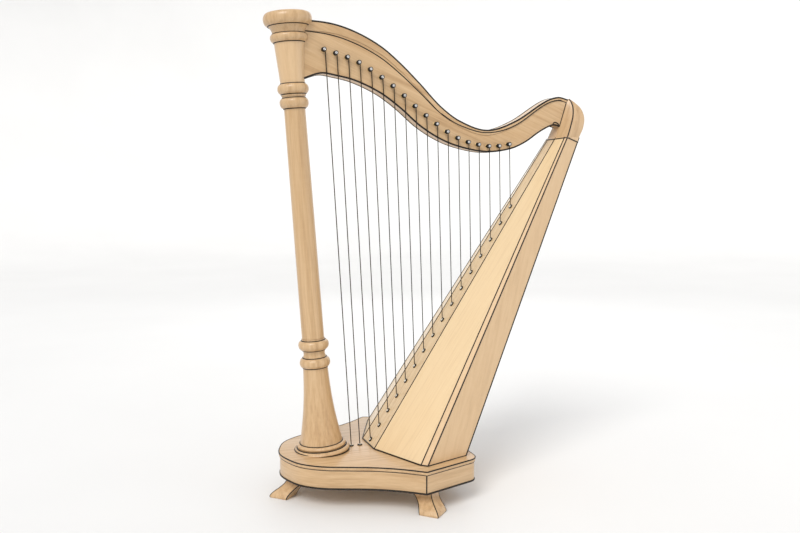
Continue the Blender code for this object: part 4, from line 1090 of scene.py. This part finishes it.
def pin_shape():
    """Dished head with a dark rim, plain shank, threaded length and a square end for the tuning key."""
    thread = []
    for index in range(THREAD_TURNS):
        depth = THREAD_START + index * THREAD_PITCH
        thread += [(depth, THREAD_RADII[0]), (depth + THREAD_PITCH / 2, THREAD_RADII[1])]
    rim = [pin_ring(*row) for row in PIN_RIM]
    rest = [pin_ring(*row) for row in (*PIN_SHANK, *thread, *PIN_TAIL)]
    rest += [pin_ring(*row, square=True) for row in PIN_SQUARE]
    mesh = skinned([pin_ring(*row) for row in PIN_DISH] + [rim[0]])
    for face in list(mesh.faces):
        if len(face.verts) > 4 and abs(face.calc_center_median().y - PIN_FRONT_Y) < 0.0005:
            mesh.faces.remove(face)
    skin(mesh, rim, caps=False, material=1)
    skin(mesh, [rim[-1]] + rest, caps=False)
    bmesh.ops.remove_doubles(mesh, verts=mesh.verts, dist=0.000001)
    bmesh.ops.holes_fill(mesh, edges=[edge for edge in mesh.edges if edge.is_boundary], sides=PIN_SIDES)
    return mesh


def build_pins():
    for index, (x, z) in enumerate(pin_spots()):
        mesh = pin_shape()
        bmesh.ops.translate(mesh, vec=(x, 0, z), verts=mesh.verts)
        node = f"tuning_pin_{index + 1:02d}"
        add_piece(node + "_turned", mesh, [STEEL, BLUED], node, node, sharp=45)


def build_bushings():
    """Slim brass rings round the pins on both faces of the neck."""
    mesh = bmesh.new()
    for x, z in pin_spots():
        for side in (-1, 1):
            turn = Matrix.Rotation(side * math.radians(-90), 4, "X")
            place = Matrix.Translation((x, side * NECK_HALF, z)) @ turn
            skin(mesh, turned_rings(BUSHING, BUSHING_SIDES, place), round_trip=True)
    add_piece("pin_bushings", mesh, [BRASS], sharp=50)


# Stage

def build_stage():
    """Plain pale floor that curves up far behind the object on every side."""
    profile = [(0.0, STAGE_HUB), (0.0, STAGE_RADIUS)]
    for share in shares(STAGE_STEPS)[1:]:
        angle = math.pi / 2 * share
        profile.append((STAGE_RISE * (1 - math.cos(angle)), STAGE_RADIUS + STAGE_RISE * math.sin(angle)))
    mesh = skinned(turned_rings(profile, STAGE_SIDES), caps=False)
    hub = [edge for edge in mesh.edges if all(end.co.length < STAGE_HUB * 1.2 for end in edge.verts)]
    bmesh.ops.holes_fill(mesh, edges=hub, sides=STAGE_SIDES)
    floor = make_object("floor", mesh, [pale_floor()], shift=0)
    floor.data.shade_smooth()


def aim(item, direction):
    item.rotation_euler = direction.to_track_quat("-Z", "Y").to_euler()


def build_lights():
    """An even, soft main light from the upper left, two large fills and a near-white surround."""
    sun = bpy.data.lights.new("key", "SUN")
    sun.energy = KEY_STRENGTH
    sun.angle = KEY_SOFTNESS
    sun.color = (1.0, 0.985, 0.96)
    aim(link("key", sun), -KEY_FROM)
    for name, place, energy, colour in FILLS:
        light = bpy.data.lights.new(name, "AREA")
        light.shape = "DISK"
        light.size = FILL_SIZE
        light.energy = energy
        light.color = colour
        item = link(name, light)
        item.location = place
        aim(item, FILL_AIM - Vector(place))
    world = bpy.data.worlds.new("studio")
    bpy.context.scene.world = world
    world.use_nodes = True
    background = world.node_tree.nodes["Background"]
    background.inputs["Color"].default_value = (0.99, 0.99, 1.0, 1.0)
    background.inputs["Strength"].default_value = SURROUND_STRENGTH


def build_camera():
    camera = bpy.data.cameras.new("camera")
    camera.sensor_fit = "HORIZONTAL"
    camera.sensor_width = 36.0
    camera.lens = CAMERA_LENS
    camera.clip_end = CAMERA_REACH
    item = link("camera", camera)
    item.location = CAMERA_PLACE
    item.rotation_euler = CAMERA_TURN
    bpy.context.scene.camera = item
    bpy.context.scene.view_settings.view_transform = "Standard"


build_camera()
build_lights()
build_stage()
build_column()
build_column_lines()
build_base()
build_feet()
dress_soundbox()
build_sound_hole_rims()
build_neck()
build_neck_lines()
build_shoulder()
build_cuff()
build_bushings()
build_pins()
build_eyelets()
build_strings()
